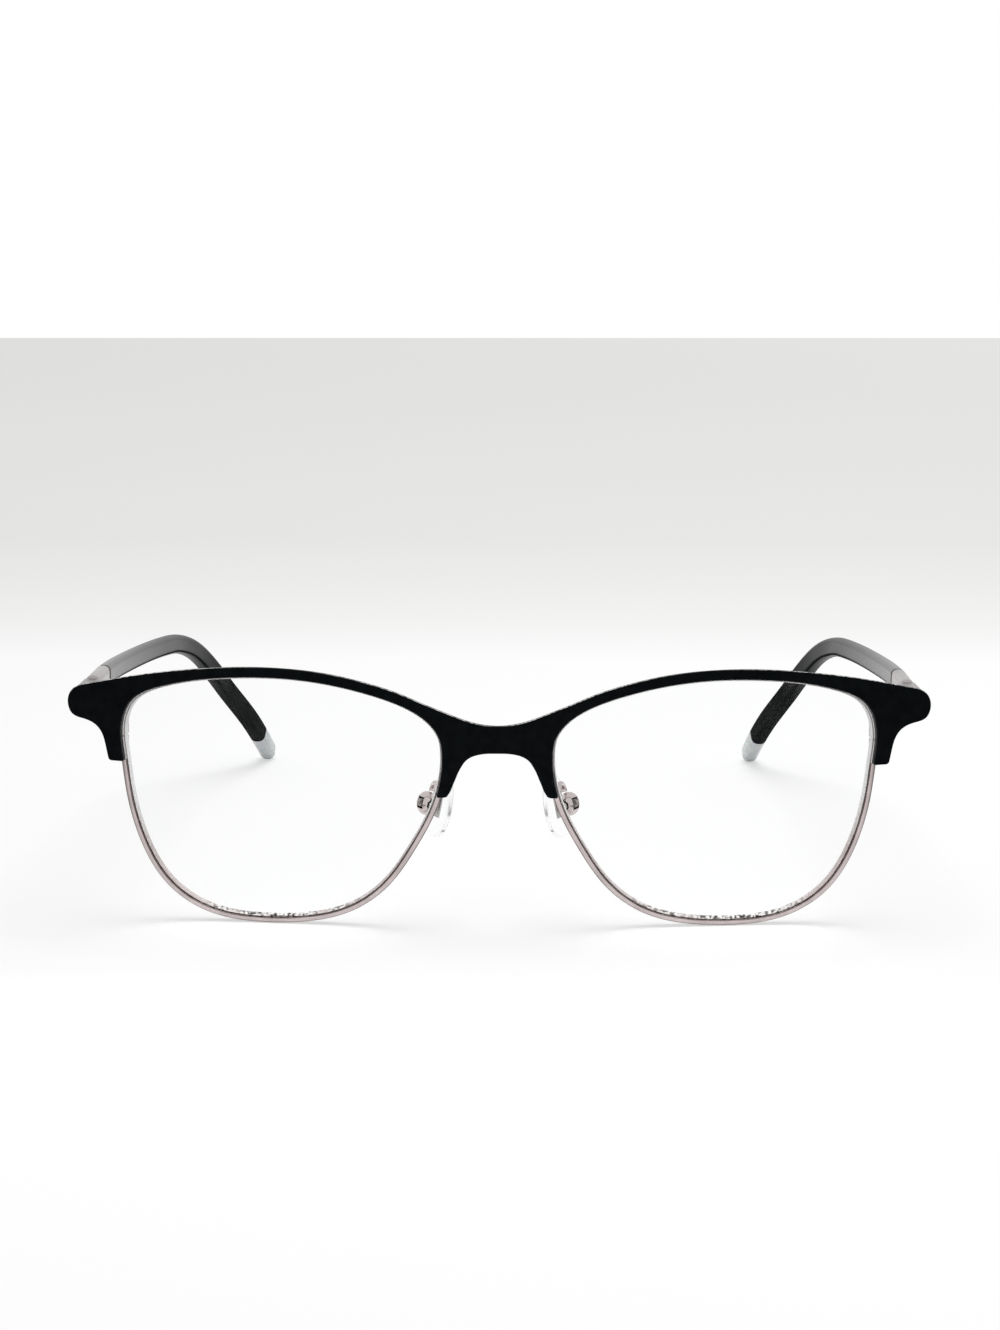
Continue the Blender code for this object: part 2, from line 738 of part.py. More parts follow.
def make_hinge(name, side, root, hinge):
    # Front leaf with the outer two knuckles, rear leaf with the middle one, and the screw with its
    # head below, all a little lower than the middle of the temple
    lowered = Vector((0, 0, -hinge_drop))
    fixed = add_frame(name + "hinge_fixed", root, hinge.location + lowered)
    moving = add_frame(name + "hinge_moving", hinge, lowered)
    knuckle = (barrel_height - 2 * knuckle_gap) / 3
    half = barrel_height / 2
    leaf_half = half - leaf_margin
    leaf_outer = inner_face - seat_gap
    leaf_inner = leaf_outer - leaf_thickness
    swing = barrel_radius + barrel_gap
    bore_radius = hinge_screw_radius + screw_clearance
    bore = ((0, 0, -half - overrun), (0, 0, half + overrun))
    leaves = (
        ("hinge_front_leaf", fixed, -1, ((-half, -half + knuckle), (half - knuckle, half)),
         ((-knuckle / 2 - knuckle_gap, knuckle / 2 + knuckle_gap),)),
        ("hinge_rear_leaf", moving, 1, ((-knuckle / 2, knuckle / 2),),
         ((-half - overrun, -knuckle / 2), (knuckle / 2, half + overrun))),
    )
    for leaf, parent, way, knuckles, notches in leaves:
        plate = box((side * leaf_inner, 0, -leaf_half), (side * leaf_outer, way * leaf_length, leaf_half))
        piece = add_piece(name + leaf, plate, "steel", parent)
        for number, (low, high) in enumerate(notches):
            notch = cylinder((0, 0, low), (0, 0, high), swing)
            combine(piece, f"notch_{number}", notch, "DIFFERENCE")
        for number, (low, high) in enumerate(knuckles):
            barrel = cylinder((0, 0, low), (0, 0, high), barrel_radius)
            combine(piece, f"knuckle_{number}", barrel, "UNION")
        combine(piece, "bore", cylinder(*bore, bore_radius), "DIFFERENCE")
    seat = -half - seat_gap
    add_screw(
        name + "hinge_screw", fixed, 2, (half, seat, seat - hinge_screw_head_height),
        (hinge_screw_radius, hinge_screw_head_radius), "steel",
    )


# Temples

def temple_line(side, drop):
    # The middle of the temple from the hinge back to the end, as seen from the hinge
    spans = np.array((temple_reach, temple_inset, drop))
    line = smooth_line(np.array(temple_shares) * spans)
    places = np.stack([side * (temple_middle - line[:, 1]), line[:, 0], -line[:, 2]], axis=1)
    steps = np.linalg.norm(np.diff(places, axis=0), axis=1)
    travelled = np.concatenate([[0], np.cumsum(steps)])
    return np.column_stack([places, travelled])


def along_temple(line, distance):
    # Place, sideways and upward directions at a distance along the temple
    place = Vector([np.interp(distance, line[:, 3], line[:, axis]) for axis in range(3)])
    probe = facet_length / 8
    ahead = Vector([np.interp(distance + probe, line[:, 3], line[:, axis]) for axis in range(3)])
    behind = Vector([np.interp(distance - probe, line[:, 3], line[:, axis]) for axis in range(3)])
    forward = (ahead - behind).normalized()
    sideways = forward.cross(Vector((0, 0, 1))).normalized()
    return place, sideways, sideways.cross(forward)


def rounded_section(thickness, height, turns):
    # Points round a rectangle with rounded corners, with some turns in each corner
    rounding = min(thickness, height) * edge_share
    points = []
    for quarter, (across_sign, up_sign) in enumerate(((1, 1), (-1, 1), (-1, -1), (1, -1))):
        middle = (across_sign * (thickness / 2 - rounding), up_sign * (height / 2 - rounding))
        for turn in np.linspace(0, math.pi / 2, turns):
            angle = turn + quarter * math.pi / 2
            points.append((middle[0] + rounding * math.cos(angle), middle[1] + rounding * math.sin(angle)))
    return points


def temple_ring(line, distance, scale=1.0, shift=0.0):
    # One ring of the temple's outer skin, swelling from the front section to the ear part
    swell = np.interp(distance / line[-1, 3], *zip(*swell_shares))
    thickness = (temple_thickness + (ear_thickness - temple_thickness) * swell) * scale
    height = (temple_height + (ear_height - temple_height) * swell) * scale
    place, sideways, up = along_temple(line, distance + shift)
    return [place + sideways * x + up * z for x, z in rounded_section(thickness, height, 3)]


def head_ring(side, distance):
    # One ring of the straight metal section at the front of the temple
    section = rounded_section(temple_thickness, temple_height, 3)
    return [Vector((side * temple_middle + x, distance, z)) for x, z in section]


def core_ring(line, distance, clearance):
    place, sideways, up = along_temple(line, distance)
    section = rounded_section(core_thickness + 2 * clearance, core_height + 2 * clearance, 2)
    return [place + sideways * x + up * z for x, z in section]


def tip_rings(line):
    # The rounded end of the temple
    length = line[-1, 3]
    rounded_length = ear_height / 2
    straight = tip_length - rounded_length
    body = [temple_ring(line, length - tip_length + straight * share) for share in (1 / 3, 2 / 3)]
    rounded = [
        temple_ring(line, length - rounded_length * (1 - along), scale) for along, scale in tip_end_shares
    ]
    return body + rounded


def resting_line(side, height):
    # The middle line whose rounded end just reaches the base, a given height under the hinge
    drop = height
    for _ in range(3):
        line = temple_line(side, drop)
        drop += height + min(point.z for ring in tip_rings(line) for point in ring)
    return temple_line(side, drop)


def make_temple(name, side, hinge):
    line = resting_line(side, hinge.location.z)
    length = line[-1, 3]
    joint = length - tip_length
    core_end = length - core_stop
    between = line[(line[:, 3] > head_length) & (line[:, 3] < joint)]
    places = stations(between, sleeve_stations, 3)[:, 3]
    core_places = [place for place in places if place < core_end]

    head = loft([head_ring(side, place) for place in (seat_gap, head_length)])
    core = add_piece(name + "temple_core", head, "rose metal", hinge)
    wire = loft([core_ring(line, place, 0) for place in [head_length - overrun] + core_places])
    combine(core, "wire", wire, "UNION")

    dome = [temple_ring(line, joint, scale, along * dome_length) for along, scale in dome_shares]
    front_place = head_length + seat_gap
    sleeve_rings = [temple_ring(line, place) for place in [front_place] + list(places[1:-1])] + dome
    sleeve = add_piece(name + "temple_sleeve", loft(sleeve_rings), "black acetate", hinge)
    bore_places = [head_length - overrun] + core_places + [core_places[-1] + overrun]
    bore = loft([core_ring(line, place, seat_gap) for place in bore_places])
    combine(sleeve, "bore", bore, "DIFFERENCE")

    hollow = [
        temple_ring(line, joint, scale, along * dome_length + seat_gap) for along, scale in dome_shares
    ]
    add_piece(name + "temple_tip", loft(hollow[::-1] + tip_rings(line)), "grey acetate", hinge)


# Assembly

def lowest_point(piece, frame):
    return min((frame.matrix_local @ vertex.co).z for vertex in piece.data.vertices)


def centre_on_base(root):
    # The part's origin is at the middle of its base
    bpy.context.view_layer.update()
    graph = bpy.context.evaluated_depsgraph_get()
    places = []
    for piece in parts.objects:
        if piece.type == "EMPTY":
            continue
        evaluated = piece.evaluated_get(graph)
        places += [evaluated.matrix_world @ vertex.co for vertex in evaluated.to_mesh().vertices]
        evaluated.to_mesh_clear()
    root.location.y = -(min(place.y for place in places) + max(place.y for place in places)) / 2
    root.location.z = -min(place.z for place in places)
    bpy.context.view_layer.update()


def make_eyeglasses():
    root = add_frame("eyeglasses_frame", None, (0, 0, 0))
    front = add_frame("front_frame", root, (0, 0, 0), (lean_angle, 0, 0))
    sides = (("left_", 1), ("right_", -1))
    for name, side in sides:
        rim = make_rim(name, side, front)
    front.location.z = -lowest_point(rim, front)
    bpy.context.view_layer.update()
    make_plate(front)
    temple_z = front_height * temple_height_share
    hinge_x = tapered(half_width, temple_z) - lug_inset - outer_face
    hinge_y = plate_back(front, hinge_x + temple_middle, temple_z) + lug_length
    for name, side in sides:
        make_lens(name, side, front)
        make_lock(name, side, front)
        make_pad(name, side, front)
        hinge = add_frame(name + "temple_hinge", root, (side * hinge_x, hinge_y, temple_z))
        make_end_piece(name, side, root, front, hinge)
        make_hinge(name, side, root, hinge)
        make_temple(name, side, hinge)
    centre_on_base(root)


make_eyeglasses()
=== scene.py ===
import json
import math

import bmesh
import bpy
import numpy as np
from mathutils import Matrix, Vector


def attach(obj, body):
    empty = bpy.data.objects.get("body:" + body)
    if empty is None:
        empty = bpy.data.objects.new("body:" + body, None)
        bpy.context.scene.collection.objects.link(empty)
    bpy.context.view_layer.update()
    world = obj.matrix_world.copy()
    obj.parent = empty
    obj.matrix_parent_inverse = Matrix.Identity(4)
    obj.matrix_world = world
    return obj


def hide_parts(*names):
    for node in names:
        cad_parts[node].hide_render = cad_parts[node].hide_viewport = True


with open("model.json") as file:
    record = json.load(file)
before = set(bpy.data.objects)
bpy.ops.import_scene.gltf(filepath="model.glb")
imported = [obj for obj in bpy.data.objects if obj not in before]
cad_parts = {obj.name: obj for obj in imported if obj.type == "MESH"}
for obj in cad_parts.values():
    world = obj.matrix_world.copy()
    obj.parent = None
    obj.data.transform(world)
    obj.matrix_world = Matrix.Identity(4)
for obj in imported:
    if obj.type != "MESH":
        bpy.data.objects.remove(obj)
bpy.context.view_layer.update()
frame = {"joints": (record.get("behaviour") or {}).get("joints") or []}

scene = bpy.context.scene
print("frame loaded")

# Sizes that several pieces share, in metres. Shares are of the lens opening or of the front's height
glasses = {
    "lensWidth": 0.0531, "lensHeight": 0.0411, "bridgeWidth": 0.0169, "endReach": 0.0086,
    "browHeight": 0.0017, "lensSeat": 0.0004, "rimWidth": 0.0009, "rimDepth": 0.0019,
    "plateThickness": 0.0010, "gap": 0.00005,
    "boreGap": 0.00005, "overrun": 0.001,  # round the screws, and how far a cut reaches past its piece
    "radius": 0.132, "apex": 0.0235, "blend": 0.006,  # how the front curves round the face
    "lean": 3, "place": (0, -0.0687884, -0.00034929),  # degrees forward, and where the front stands
    "taper": 0.006,  # wider at the bottom and narrower at the top
    "lockHeight": 0.714, "stations": 288,
    "opening": (
        (0.095, 0.315), (0.183, 0.153), (0.302, 0.047), (0.438, 0.006), (0.576, 0.000), (0.719, 0.029),
        (0.847, 0.133), (0.929, 0.307), (0.974, 0.515), (0.990, 0.660), (0.998, 0.757), (0.991, 0.822),
        (0.970, 0.878), (0.933, 0.918), (0.885, 0.944), (0.791, 0.975), (0.635, 0.998), (0.503, 1.000),
        (0.375, 0.984), (0.234, 0.944), (0.152, 0.909), (0.067, 0.852), (0.031, 0.810), (0.007, 0.758),
        (0.000, 0.698), (0.006, 0.590), (0.036, 0.462),
    ),
}
sides = (("left", 1), ("right", -1))
lineSteps = 24  # points from one knot of a smooth line to the next


def rotation(degrees, axis):
    return Matrix.Rotation(math.radians(degrees), 4, axis)


openingLow = np.array([glasses["bridgeWidth"] / 2 + glasses["lensSeat"], glasses["rimWidth"]])
openingSize = np.array([glasses["lensWidth"], glasses["lensHeight"]]) - 2 * glasses["lensSeat"]
openingMiddle = openingLow[0] + openingSize[0] / 2
frontHeight = openingLow[1] + openingSize[1] + glasses["browHeight"]
gap, overrun = glasses["gap"], glasses["overrun"]
rimFront = glasses["plateThickness"] + gap
rimMiddle = rimFront + glasses["rimDepth"] / 2
rimBack = rimFront + glasses["rimDepth"]
frontMatrix = Matrix.Translation(glasses["place"]) @ rotation(glasses["lean"], "X")


# Lines and shapes

def smoothLine(points, closed=False):  # a cubic spline, as a dense line of points
    knots = np.array(points, float)
    if closed:
        knots = np.vstack([knots, knots[:1]])
    gaps = np.linalg.norm(np.diff(knots, axis=0), axis=1)
    last = len(knots) - 1
    matrix = np.eye(last + 1)
    right = np.zeros_like(knots)
    slopes = np.diff(knots, axis=0) / gaps[:, None]
    for i in range(1, last):
        matrix[i, i - 1:i + 2] = gaps[i - 1], 2 * (gaps[i - 1] + gaps[i]), gaps[i]
        right[i] = 6 * (slopes[i] - slopes[i - 1])
    if closed:
        matrix[0, :2] = 2 * (gaps[-1] + gaps[0]), gaps[0]
        matrix[0, last - 1] = gaps[-1]
        right[0] = 6 * (slopes[0] - slopes[-1])
        matrix[last, 0] = -1
    bends = np.linalg.solve(matrix, right)
    line = []
    for i in range(last):
        for along in np.linspace(0, gaps[i], lineSteps, endpoint=False):
            left = gaps[i] - along
            line.append((bends[i] * left ** 3 + bends[i + 1] * along ** 3) / (6 * gaps[i])
                        + (knots[i] / gaps[i] - bends[i] * gaps[i] / 6) * left
                        + (knots[i + 1] / gaps[i] - bends[i + 1] * gaps[i] / 6) * along)
    line.append(knots[-1])
    return np.array(line)


def spaced(line, count, columns=2, bendSpacing=0.003):  # points along a line, closer where it bends
    legs = np.diff(line[:, :columns], axis=0)
    lengths = np.linalg.norm(legs, axis=1)
    headings = legs / lengths[:, None]
    turns = np.concatenate([[0], np.arccos(np.clip((headings[1:] * headings[:-1]).sum(axis=1), -1, 1))])
    reach = np.concatenate([[0], np.cumsum(lengths + bendSpacing * turns)])
    wanted = np.linspace(0, reach[-1], count)
    return np.stack([np.interp(wanted, reach, line[:, column]) for column in range(line.shape[1])], axis=1)


def openingLine():  # the inner edge of a rim from its lock, up and round: x, z and the way outward
    line = smoothLine(openingLow + openingSize * np.array(glasses["opening"]), closed=True)[:-1]
    temporal = line[:, 0] > openingMiddle
    misses = np.where(temporal, np.abs(line[:, 1] - frontHeight * glasses["lockHeight"]), np.inf)
    line = np.roll(line, -int(np.argmin(misses)), axis=0)
    line = np.vstack([line, line[:1]])
    around = np.vstack([line[-2], line, line[1]])
    tangents = around[2:] - around[:-2]
    tangents /= np.linalg.norm(tangents, axis=1)[:, None]
    return np.hstack([line, np.stack([tangents[:, 1], -tangents[:, 0]], axis=1)])


opening = spaced(openingLine(), glasses["stations"] + 1)


def frontAxes(x, z):  # right, back and up on the curved front
    reach = math.hypot(x, glasses["blend"])
    slopeAcross = (reach - glasses["apex"]) / glasses["radius"] * x / reach
    slopeUp = (z - openingLow[1] - openingSize[1] / 2) / glasses["radius"]
    back = Vector((-slopeAcross, 1, -slopeUp)).normalized()
    right = Vector((1, slopeAcross, 0)).normalized()
    return right, back, right.cross(back)


def ontoFront(x, depth, z):
    x *= 1 + glasses["taper"] * (1 - z / (openingLow[1] + openingSize[1] / 2))
    reach = math.hypot(x, glasses["blend"]) - glasses["apex"]
    rise = (reach ** 2 + (z - openingLow[1] - openingSize[1] / 2) ** 2) / (2 * glasses["radius"])
    return Vector((x, rise, z)) + frontAxes(x, z)[1] * depth


def bendToFront(shape):
    for vertex in shape.verts:
        vertex.co = frontMatrix @ ontoFront(*vertex.co)
    return shape


def loft(rings):  # a skin over rings of points, with caps
    shape = bmesh.new()
    rows = [[shape.verts.new(point) for point in ring] for ring in rings]
    for one, two in zip(rows, rows[1:]):
        for i, vertex in enumerate(one):
            following = (i + 1) % len(one)
            shape.faces.new((vertex, one[following], two[following], two[i]))
    shape.faces.new(rows[0][::-1])
    shape.faces.new(rows[-1])
    return shape


def turned(profile, segments=64):  # a shape turned round Z from radius and height pairs
    angles = np.linspace(0, 2 * math.pi, segments, endpoint=False)
    return loft([[(radius * math.cos(a), radius * math.sin(a), height) for a in angles]
                 for radius, height in profile])


def arc(middle, radius, start, end, steps):  # points on an arc, angles in degrees
    angles = np.radians(np.linspace(start, end, steps))
    return [(middle[0] + radius * math.cos(a), middle[1] + radius * math.sin(a)) for a in angles]


def block(low, high):
    low, high = Vector(map(min, low, high)), Vector(map(max, low, high))
    shape = bmesh.new()
    place = Matrix.Translation((low + high) / 2) @ Matrix.Diagonal((high - low).to_4d())
    bmesh.ops.create_cube(shape, size=1, matrix=place)
    return shape


def moved(shape, matrix):
    bmesh.ops.transform(shape, matrix=matrix, verts=shape.verts)
    if matrix.determinant() < 0:
        bmesh.ops.reverse_faces(shape, faces=shape.faces)
    return shape


def asMesh(shape, name="shape"):
    bmesh.ops.recalc_face_normals(shape, faces=shape.faces)
    mesh = bpy.data.meshes.new(name)
    shape.to_mesh(mesh)
    shape.free()
    return mesh


def linked(name, data):  # a new object in the scene
    thing = bpy.data.objects.new(name, data)
    scene.collection.objects.link(thing)
    return thing


def shapeOf(thing):  # the shape that an object has with its modifiers
    bpy.context.view_layer.update()
    mesh = bpy.data.meshes.new_from_object(thing.evaluated_get(bpy.context.evaluated_depsgraph_get()))
    shape = bmesh.new()
    shape.from_mesh(mesh)
    bpy.data.meshes.remove(mesh)
    return shape


def carved(shape, *steps):  # cuts or joins other shapes, each given with its operation
    body = linked("body", asMesh(shape))
    things = [body]
    for operation, other in steps:
        things.append(linked("tool", asMesh(other)))
        modifier = body.modifiers.new(operation, "BOOLEAN")
        modifier.solver, modifier.operation, modifier.object = "EXACT", operation, things[-1]
    result = shapeOf(body)
    for thing in things:
        spare = thing.data
        bpy.data.objects.remove(thing)
        bpy.data.meshes.remove(spare)
    return result


def bore(radius, low, high):  # what the hole for a screw takes away, along Z
    wide = radius + glasses["boreGap"]
    return turned([(wide, low - overrun), (wide, high + overrun)], 40)


def curveShape(places, merge, **settings):  # a curve with thickness, and closed if it is flat
    curve = bpy.data.curves.new("curve", "CURVE")
    for name, value in settings.items():
        setattr(curve, name, value)
    spline = curve.splines.new("POLY")
    spline.points.add(len(places) - 1)
    for point, place in zip(spline.points, places):
        point.co = (*place, 1)
    spline.use_cyclic_u = curve.dimensions == "2D"
    holder = linked("curve", curve)
    shape = shapeOf(holder)
    bpy.data.objects.remove(holder)
    bpy.data.curves.remove(curve)
    bmesh.ops.remove_doubles(shape, verts=shape.verts, dist=merge)
    return shape


def addPiece(name, shape, body, node, slot, *looks, rounding=0, sharp=35):
    mesh = asMesh(shape, name)
    mesh.shade_smooth()
    mesh.set_sharp_from_angle(angle=math.radians(sharp))
    piece = linked(name, mesh)
    for look in looks:
        mesh.materials.append(finish[look])
    if rounding:
        modifier = piece.modifiers.new("rounded edges", "BEVEL")
        modifier.width, modifier.segments, modifier.limit_method = rounding, 3, "ANGLE"
    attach(piece, body)
    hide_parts(node)
    return piece


# Finishes

def connect(tree, node, inputs):  # links the outputs that are given, and sets the plain values
    for socket, value in inputs.items():
        if isinstance(value, bpy.types.NodeSocket):
            tree.links.new(value, node.inputs[socket])
        else:
            node.inputs[socket].default_value = value
    return node


def added(tree, kind, inputs={}, **settings):
    node = tree.nodes.new("ShaderNode" + kind)
    for name, value in settings.items():
        setattr(node, name, value)
    return connect(tree, node, inputs)


def output(tree, kind, name):
    return added(tree, kind).outputs[name]


def separated(tree, kind, name):  # the X, Y and Z of a node's output
    return added(tree, "SeparateXYZ", {"Vector": output(tree, kind, name)}).outputs


def noise(tree, scale, detail=2, stretch=(1, 1, 1)):
    spread = added(tree, "Mapping", {"Vector": output(tree, "TexCoord", "Object"), "Scale": stretch})
    inputs = {"Vector": spread.outputs["Vector"], "Scale": scale, "Detail": detail}
    return added(tree, "TexNoise", inputs).outputs["Fac"]


def between(tree, value, low, high, start=0.3, end=0.7):  # a value spread over a range
    inputs = {"Value": value, "From Min": start, "From Max": end, "To Min": low, "To Max": high}
    return added(tree, "MapRange", inputs).outputs["Result"]


def calculated(tree, operation, one, two=0):  # each of the two an output or a number
    return added(tree, "Math", {0: one, 1: two}, operation=operation).outputs["Value"]


def ramp(tree, value, stops):
    node = added(tree, "ValToRGB", {"Fac": value})
    while len(node.color_ramp.elements) < len(stops):
        node.color_ramp.elements.new(0.5)
    for element, (place, colour) in zip(node.color_ramp.elements, stops):
        element.position = place
        element.color = (*colour, 1)
    return node.outputs["Color"]


def graded(tree, value, tones):  # colours at given values, not only from 0 to 1
    low, high = tones[0][0], tones[-1][0]
    share = between(tree, value, 0, 1, low, high)
    return ramp(tree, share, [((place - low) / (high - low), colour) for place, colour in tones])


def mixedColour(tree, share, one, two):
    return added(tree, "Mix", {"Factor": share, "A": one, "B": two}, data_type="RGBA").outputs["Result"]


def mixedShader(tree, share, one, two):
    return added(tree, "MixShader", {"Fac": share, 1: one.outputs[0], 2: two.outputs[0]})


def bump(tree, value, distance):
    return added(tree, "Bump", {"Height": value, "Distance": distance, "Strength": 1}).outputs["Normal"]


def clad(tree, shader, colour, texture, values):  # the inputs that every finish has
    connect(tree, shader, {
        "Base Color": colour, "Roughness": between(tree, texture, *values["rough"]),
        "Normal": bump(tree, texture, values["height"]),
    })


def showMixed(tree, place, share, one, two):
    connect(tree, tree.nodes[place + " Output"], {"Surface": mixedShader(tree, share, one, two).outputs[0]})


def startMaterial(name):
    material = bpy.data.materials.new(name)
    material.use_nodes = True
    return material, material.node_tree, material.node_tree.nodes["Principled BSDF"]


cloud = {"grains": 9, "range": (0.35, 0.65)}  # how big the clouds of a colour are, and where they turn light


finishes = {
    "satinBlack": {"dark": (0.0017, 0.0026, 0.0033), "light": (0.0038, 0.0051, 0.0062), "rough": (0.42, 0.54),
                   "grain": 5200, "height": 0.000006, "specular": 0.03},
    "blackEdge": {"dark": (0.004, 0.005, 0.006), "light": (0.014, 0.015, 0.016), "rough": (0.28, 0.40),
                  "grain": 5200, "height": 0.000006, "specular": 0.2,
                  # painted highlight: a pale metal colour on the upper front edge that faces up and ahead
                  # into the light, where it faces sideways by this much
                  "paintedGlint": {"colour": (0.92, 0.90, 0.89), "aside": (0.05, 0.22), "up": (0.25, 0.6),
                           "ahead": (0.15, 0.45), "grain": 1800, "patches": (0.2, 1, 0.42, 0.55)}},
    "roseMetal": {"dark": (0.51, 0.445, 0.44), "light": (0.61, 0.535, 0.53), "rough": (0.14, 0.22),
                  "grain": 2600, "height": 0.000004, "metal": 1.0},
    # painted shade: a dark copy of the rose metal for thin dark lines on the rim's rounded edges
    "rosePaintedShade": {"dark": (0.14, 0.11, 0.105), "light": (0.24, 0.195, 0.19), "rough": (0.25, 0.40),
                  "grain": 2600, "height": 0.000004, "metal": 1.0},
    # rougher rose metal for the groove walls, painted a little darker as shade in the groove
    "roseGrooveShaded": {"dark": (0.46, 0.395, 0.385), "light": (0.60, 0.53, 0.52), "rough": (0.20, 0.34),
                  "grain": 2600, "height": 0.000006, "metal": 1.0},
    # painted light: a pale, nearly white copy of the rose metal for the rim's inside behind the plate,
    # standing in for the light it catches
    "rosePaintedLight": {"dark": (0.80, 0.765, 0.755), "light": (0.90, 0.87, 0.86), "rough": (0.25, 0.40),
                  "grain": 2600, "height": 0.000004, "metal": 0.15},
    "polishedMetal": {"dark": (0.52, 0.46, 0.455), "light": (0.66, 0.59, 0.58), "rough": (0.02, 0.06),
                      "grain": 1800, "height": 0.000002, "metal": 1.0},
    "templeMetal": {"dark": (0.40, 0.38, 0.375), "light": (0.50, 0.475, 0.47), "rough": (0.24, 0.34),
                    "grain": 1500, "height": 0.000003, "metal": 1.0, "stretch": (1, 0.05, 1)},
    "steel": {"dark": (0.50, 0.49, 0.48), "light": (0.66, 0.65, 0.64), "rough": (0.20, 0.32),
              "grain": 2400, "height": 0.000004, "metal": 1.0},
    "blackAcetate": {"dark": (0.008, 0.009, 0.009), "light": (0.015, 0.016, 0.016), "rough": (0.26, 0.34),
                     "grain": 900, "height": 0.0000003, "specular": 0.0, "coat": 1.0, "coatRough": 0.2,
                     "coatIor": 1.82,
                     # less gloss from the front back to the ear, and none on the lower edge, which paints a
                     # dark line of shade there
                     "gloss": ((-0.045, 1.0), (-0.012, 0.67), (0.012, 0.50), (0.034, 0.47), (0.046, 0.02)),
                     "paintedShadeEdge": (-0.75, -0.62, -0.45, -0.30)},
    # painted shade: a matt black for the groove at the front of the sleeve and the recess round the cup's
    # screw
    "recessShadeBlack": {"dark": (0.004, 0.004, 0.004), "light": (0.008, 0.008, 0.008), "rough": (0.7, 0.8),
                  "grain": 2600, "height": 0.000002, "specular": 0.02},
    "greyAcetate": {"dark": (0.42, 0.45, 0.46), "light": (0.54, 0.57, 0.58), "rough": (0.22, 0.32),
                    "grain": 380, "height": 0.000003, "specular": 0.5, "coat": 0.3, "glow": (0.25, 0.0015)},
}


def glossLeft(tree, values):  # the coat that is left along the sleeve, and off its lower edge
    places = separated(tree, "TexCoord", "Object")
    normals = separated(tree, "NewGeometry", "Normal")
    fading = graded(tree, places["Y"], [(y, (weight, weight, weight)) for y, weight in values["gloss"]])
    # painted shade: no coat where the surface faces down, a dark line along the lower edge
    below = between(tree, normals["Z"], 1, 0, *values["paintedShadeEdge"][:2])
    above = between(tree, normals["Z"], 0, 1, *values["paintedShadeEdge"][2:])
    return calculated(tree, "MULTIPLY", fading, calculated(tree, "MAXIMUM", below, above))


# where the painted highlight lies: upper front edges that face sideways, up and ahead, in patches
def glintShare(tree, paintedGlint):
    normals = separated(tree, "NewGeometry", "Normal")
    aside = calculated(tree, "ABSOLUTE", normals["X"])
    ahead = calculated(tree, "MULTIPLY", normals["Y"], -1)
    share = between(tree, noise(tree, paintedGlint["grain"]), *paintedGlint["patches"])
    for value, limits in ((aside, paintedGlint["aside"]), (normals["Z"], paintedGlint["up"]), (ahead, paintedGlint["ahead"])):
        share = calculated(tree, "MULTIPLY", share, between(tree, value, 0, 1, *limits))
    return share


def makeFinish(name):
    values = finishes[name]
    material, tree, shader = startMaterial(name)
    grain = noise(tree, values["grain"], 3, values.get("stretch", (1, 1, 1)))
    clouds = noise(tree, values["grain"] / cloud["grains"])
    colour = ramp(tree, clouds, list(zip(cloud["range"], (values["dark"], values["light"]))))
    clad(tree, shader, colour, grain, values)
    connect(tree, shader, {
        "Metallic": values.get("metal", 0), "Specular IOR Level": values.get("specular", 0.5),
        "Coat Weight": values.get("coat", 0), "Coat Roughness": values.get("coatRough", 0.06),
        "Coat IOR": values.get("coatIor", 1.5),
    })
    if "gloss" in values:
        connect(tree, shader, {"Coat Weight": glossLeft(tree, values)})
    if "paintedGlint" in values:
        # painted highlight on the plate's upper front edge
        share = glintShare(tree, values["paintedGlint"])
        glinted = mixedColour(tree, share, colour, (*values["paintedGlint"]["colour"], 1))
        connect(tree, shader, {"Base Color": glinted, "Metallic": share})
    if "glow" in values:
        connect(tree, shader, dict(zip(("Subsurface Weight", "Subsurface Scale"), values["glow"])))
    return material


finish = {name: makeFinish(name) for name in finishes}


# See-through stuff, with the share of the lamps' light that passes it, so that its shadow stays pale
clear = {
    "lensGlass": {"tint": (0.985, 0.99, 0.988), "rough": (0.0, 0.012), "ior": 1.12, "grain": 60,
                  "height": 0.0000001, "through": 0.97},
    "clearSilicone": {"tint": (0.985, 0.99, 0.99), "rough": (0.08, 0.18), "ior": 1.13, "grain": 700,
                      "height": 0.000006, "through": 0.96},
}


def makeClear(name):
    values = clear[name]
    material, tree, shader = startMaterial(name)
    clad(tree, shader, (*values["tint"], 1), noise(tree, values["grain"]), values)
    connect(tree, shader, {"Transmission Weight": 1, "IOR": values["ior"]})
    passing = added(tree, "BsdfTransparent", {"Color": (*[values["through"]] * 3, 1)})
    showMixed(tree, "Material", output(tree, "LightPath", "Is Shadow Ray"), shader, passing)
    return material


lensEdge = {
    "sparkleTop": (0.001, 0.006), "patchGrain": 90, "patches": (0.42, 0.50), "paintedPaleFrom": (0.012, 0.022),
    "low": (0.66, 0.60, 0.59), "high": (0.98, 0.978, 0.976), "rough": (0.2, 0.5),
    "specks": ((0.40, (0.02, 0.018, 0.017)), (0.47, (0.42, 0.39, 0.38)), (0.54, (0.92, 0.91, 0.90))),
    "grain": 1700, "height": 0.00003,
}


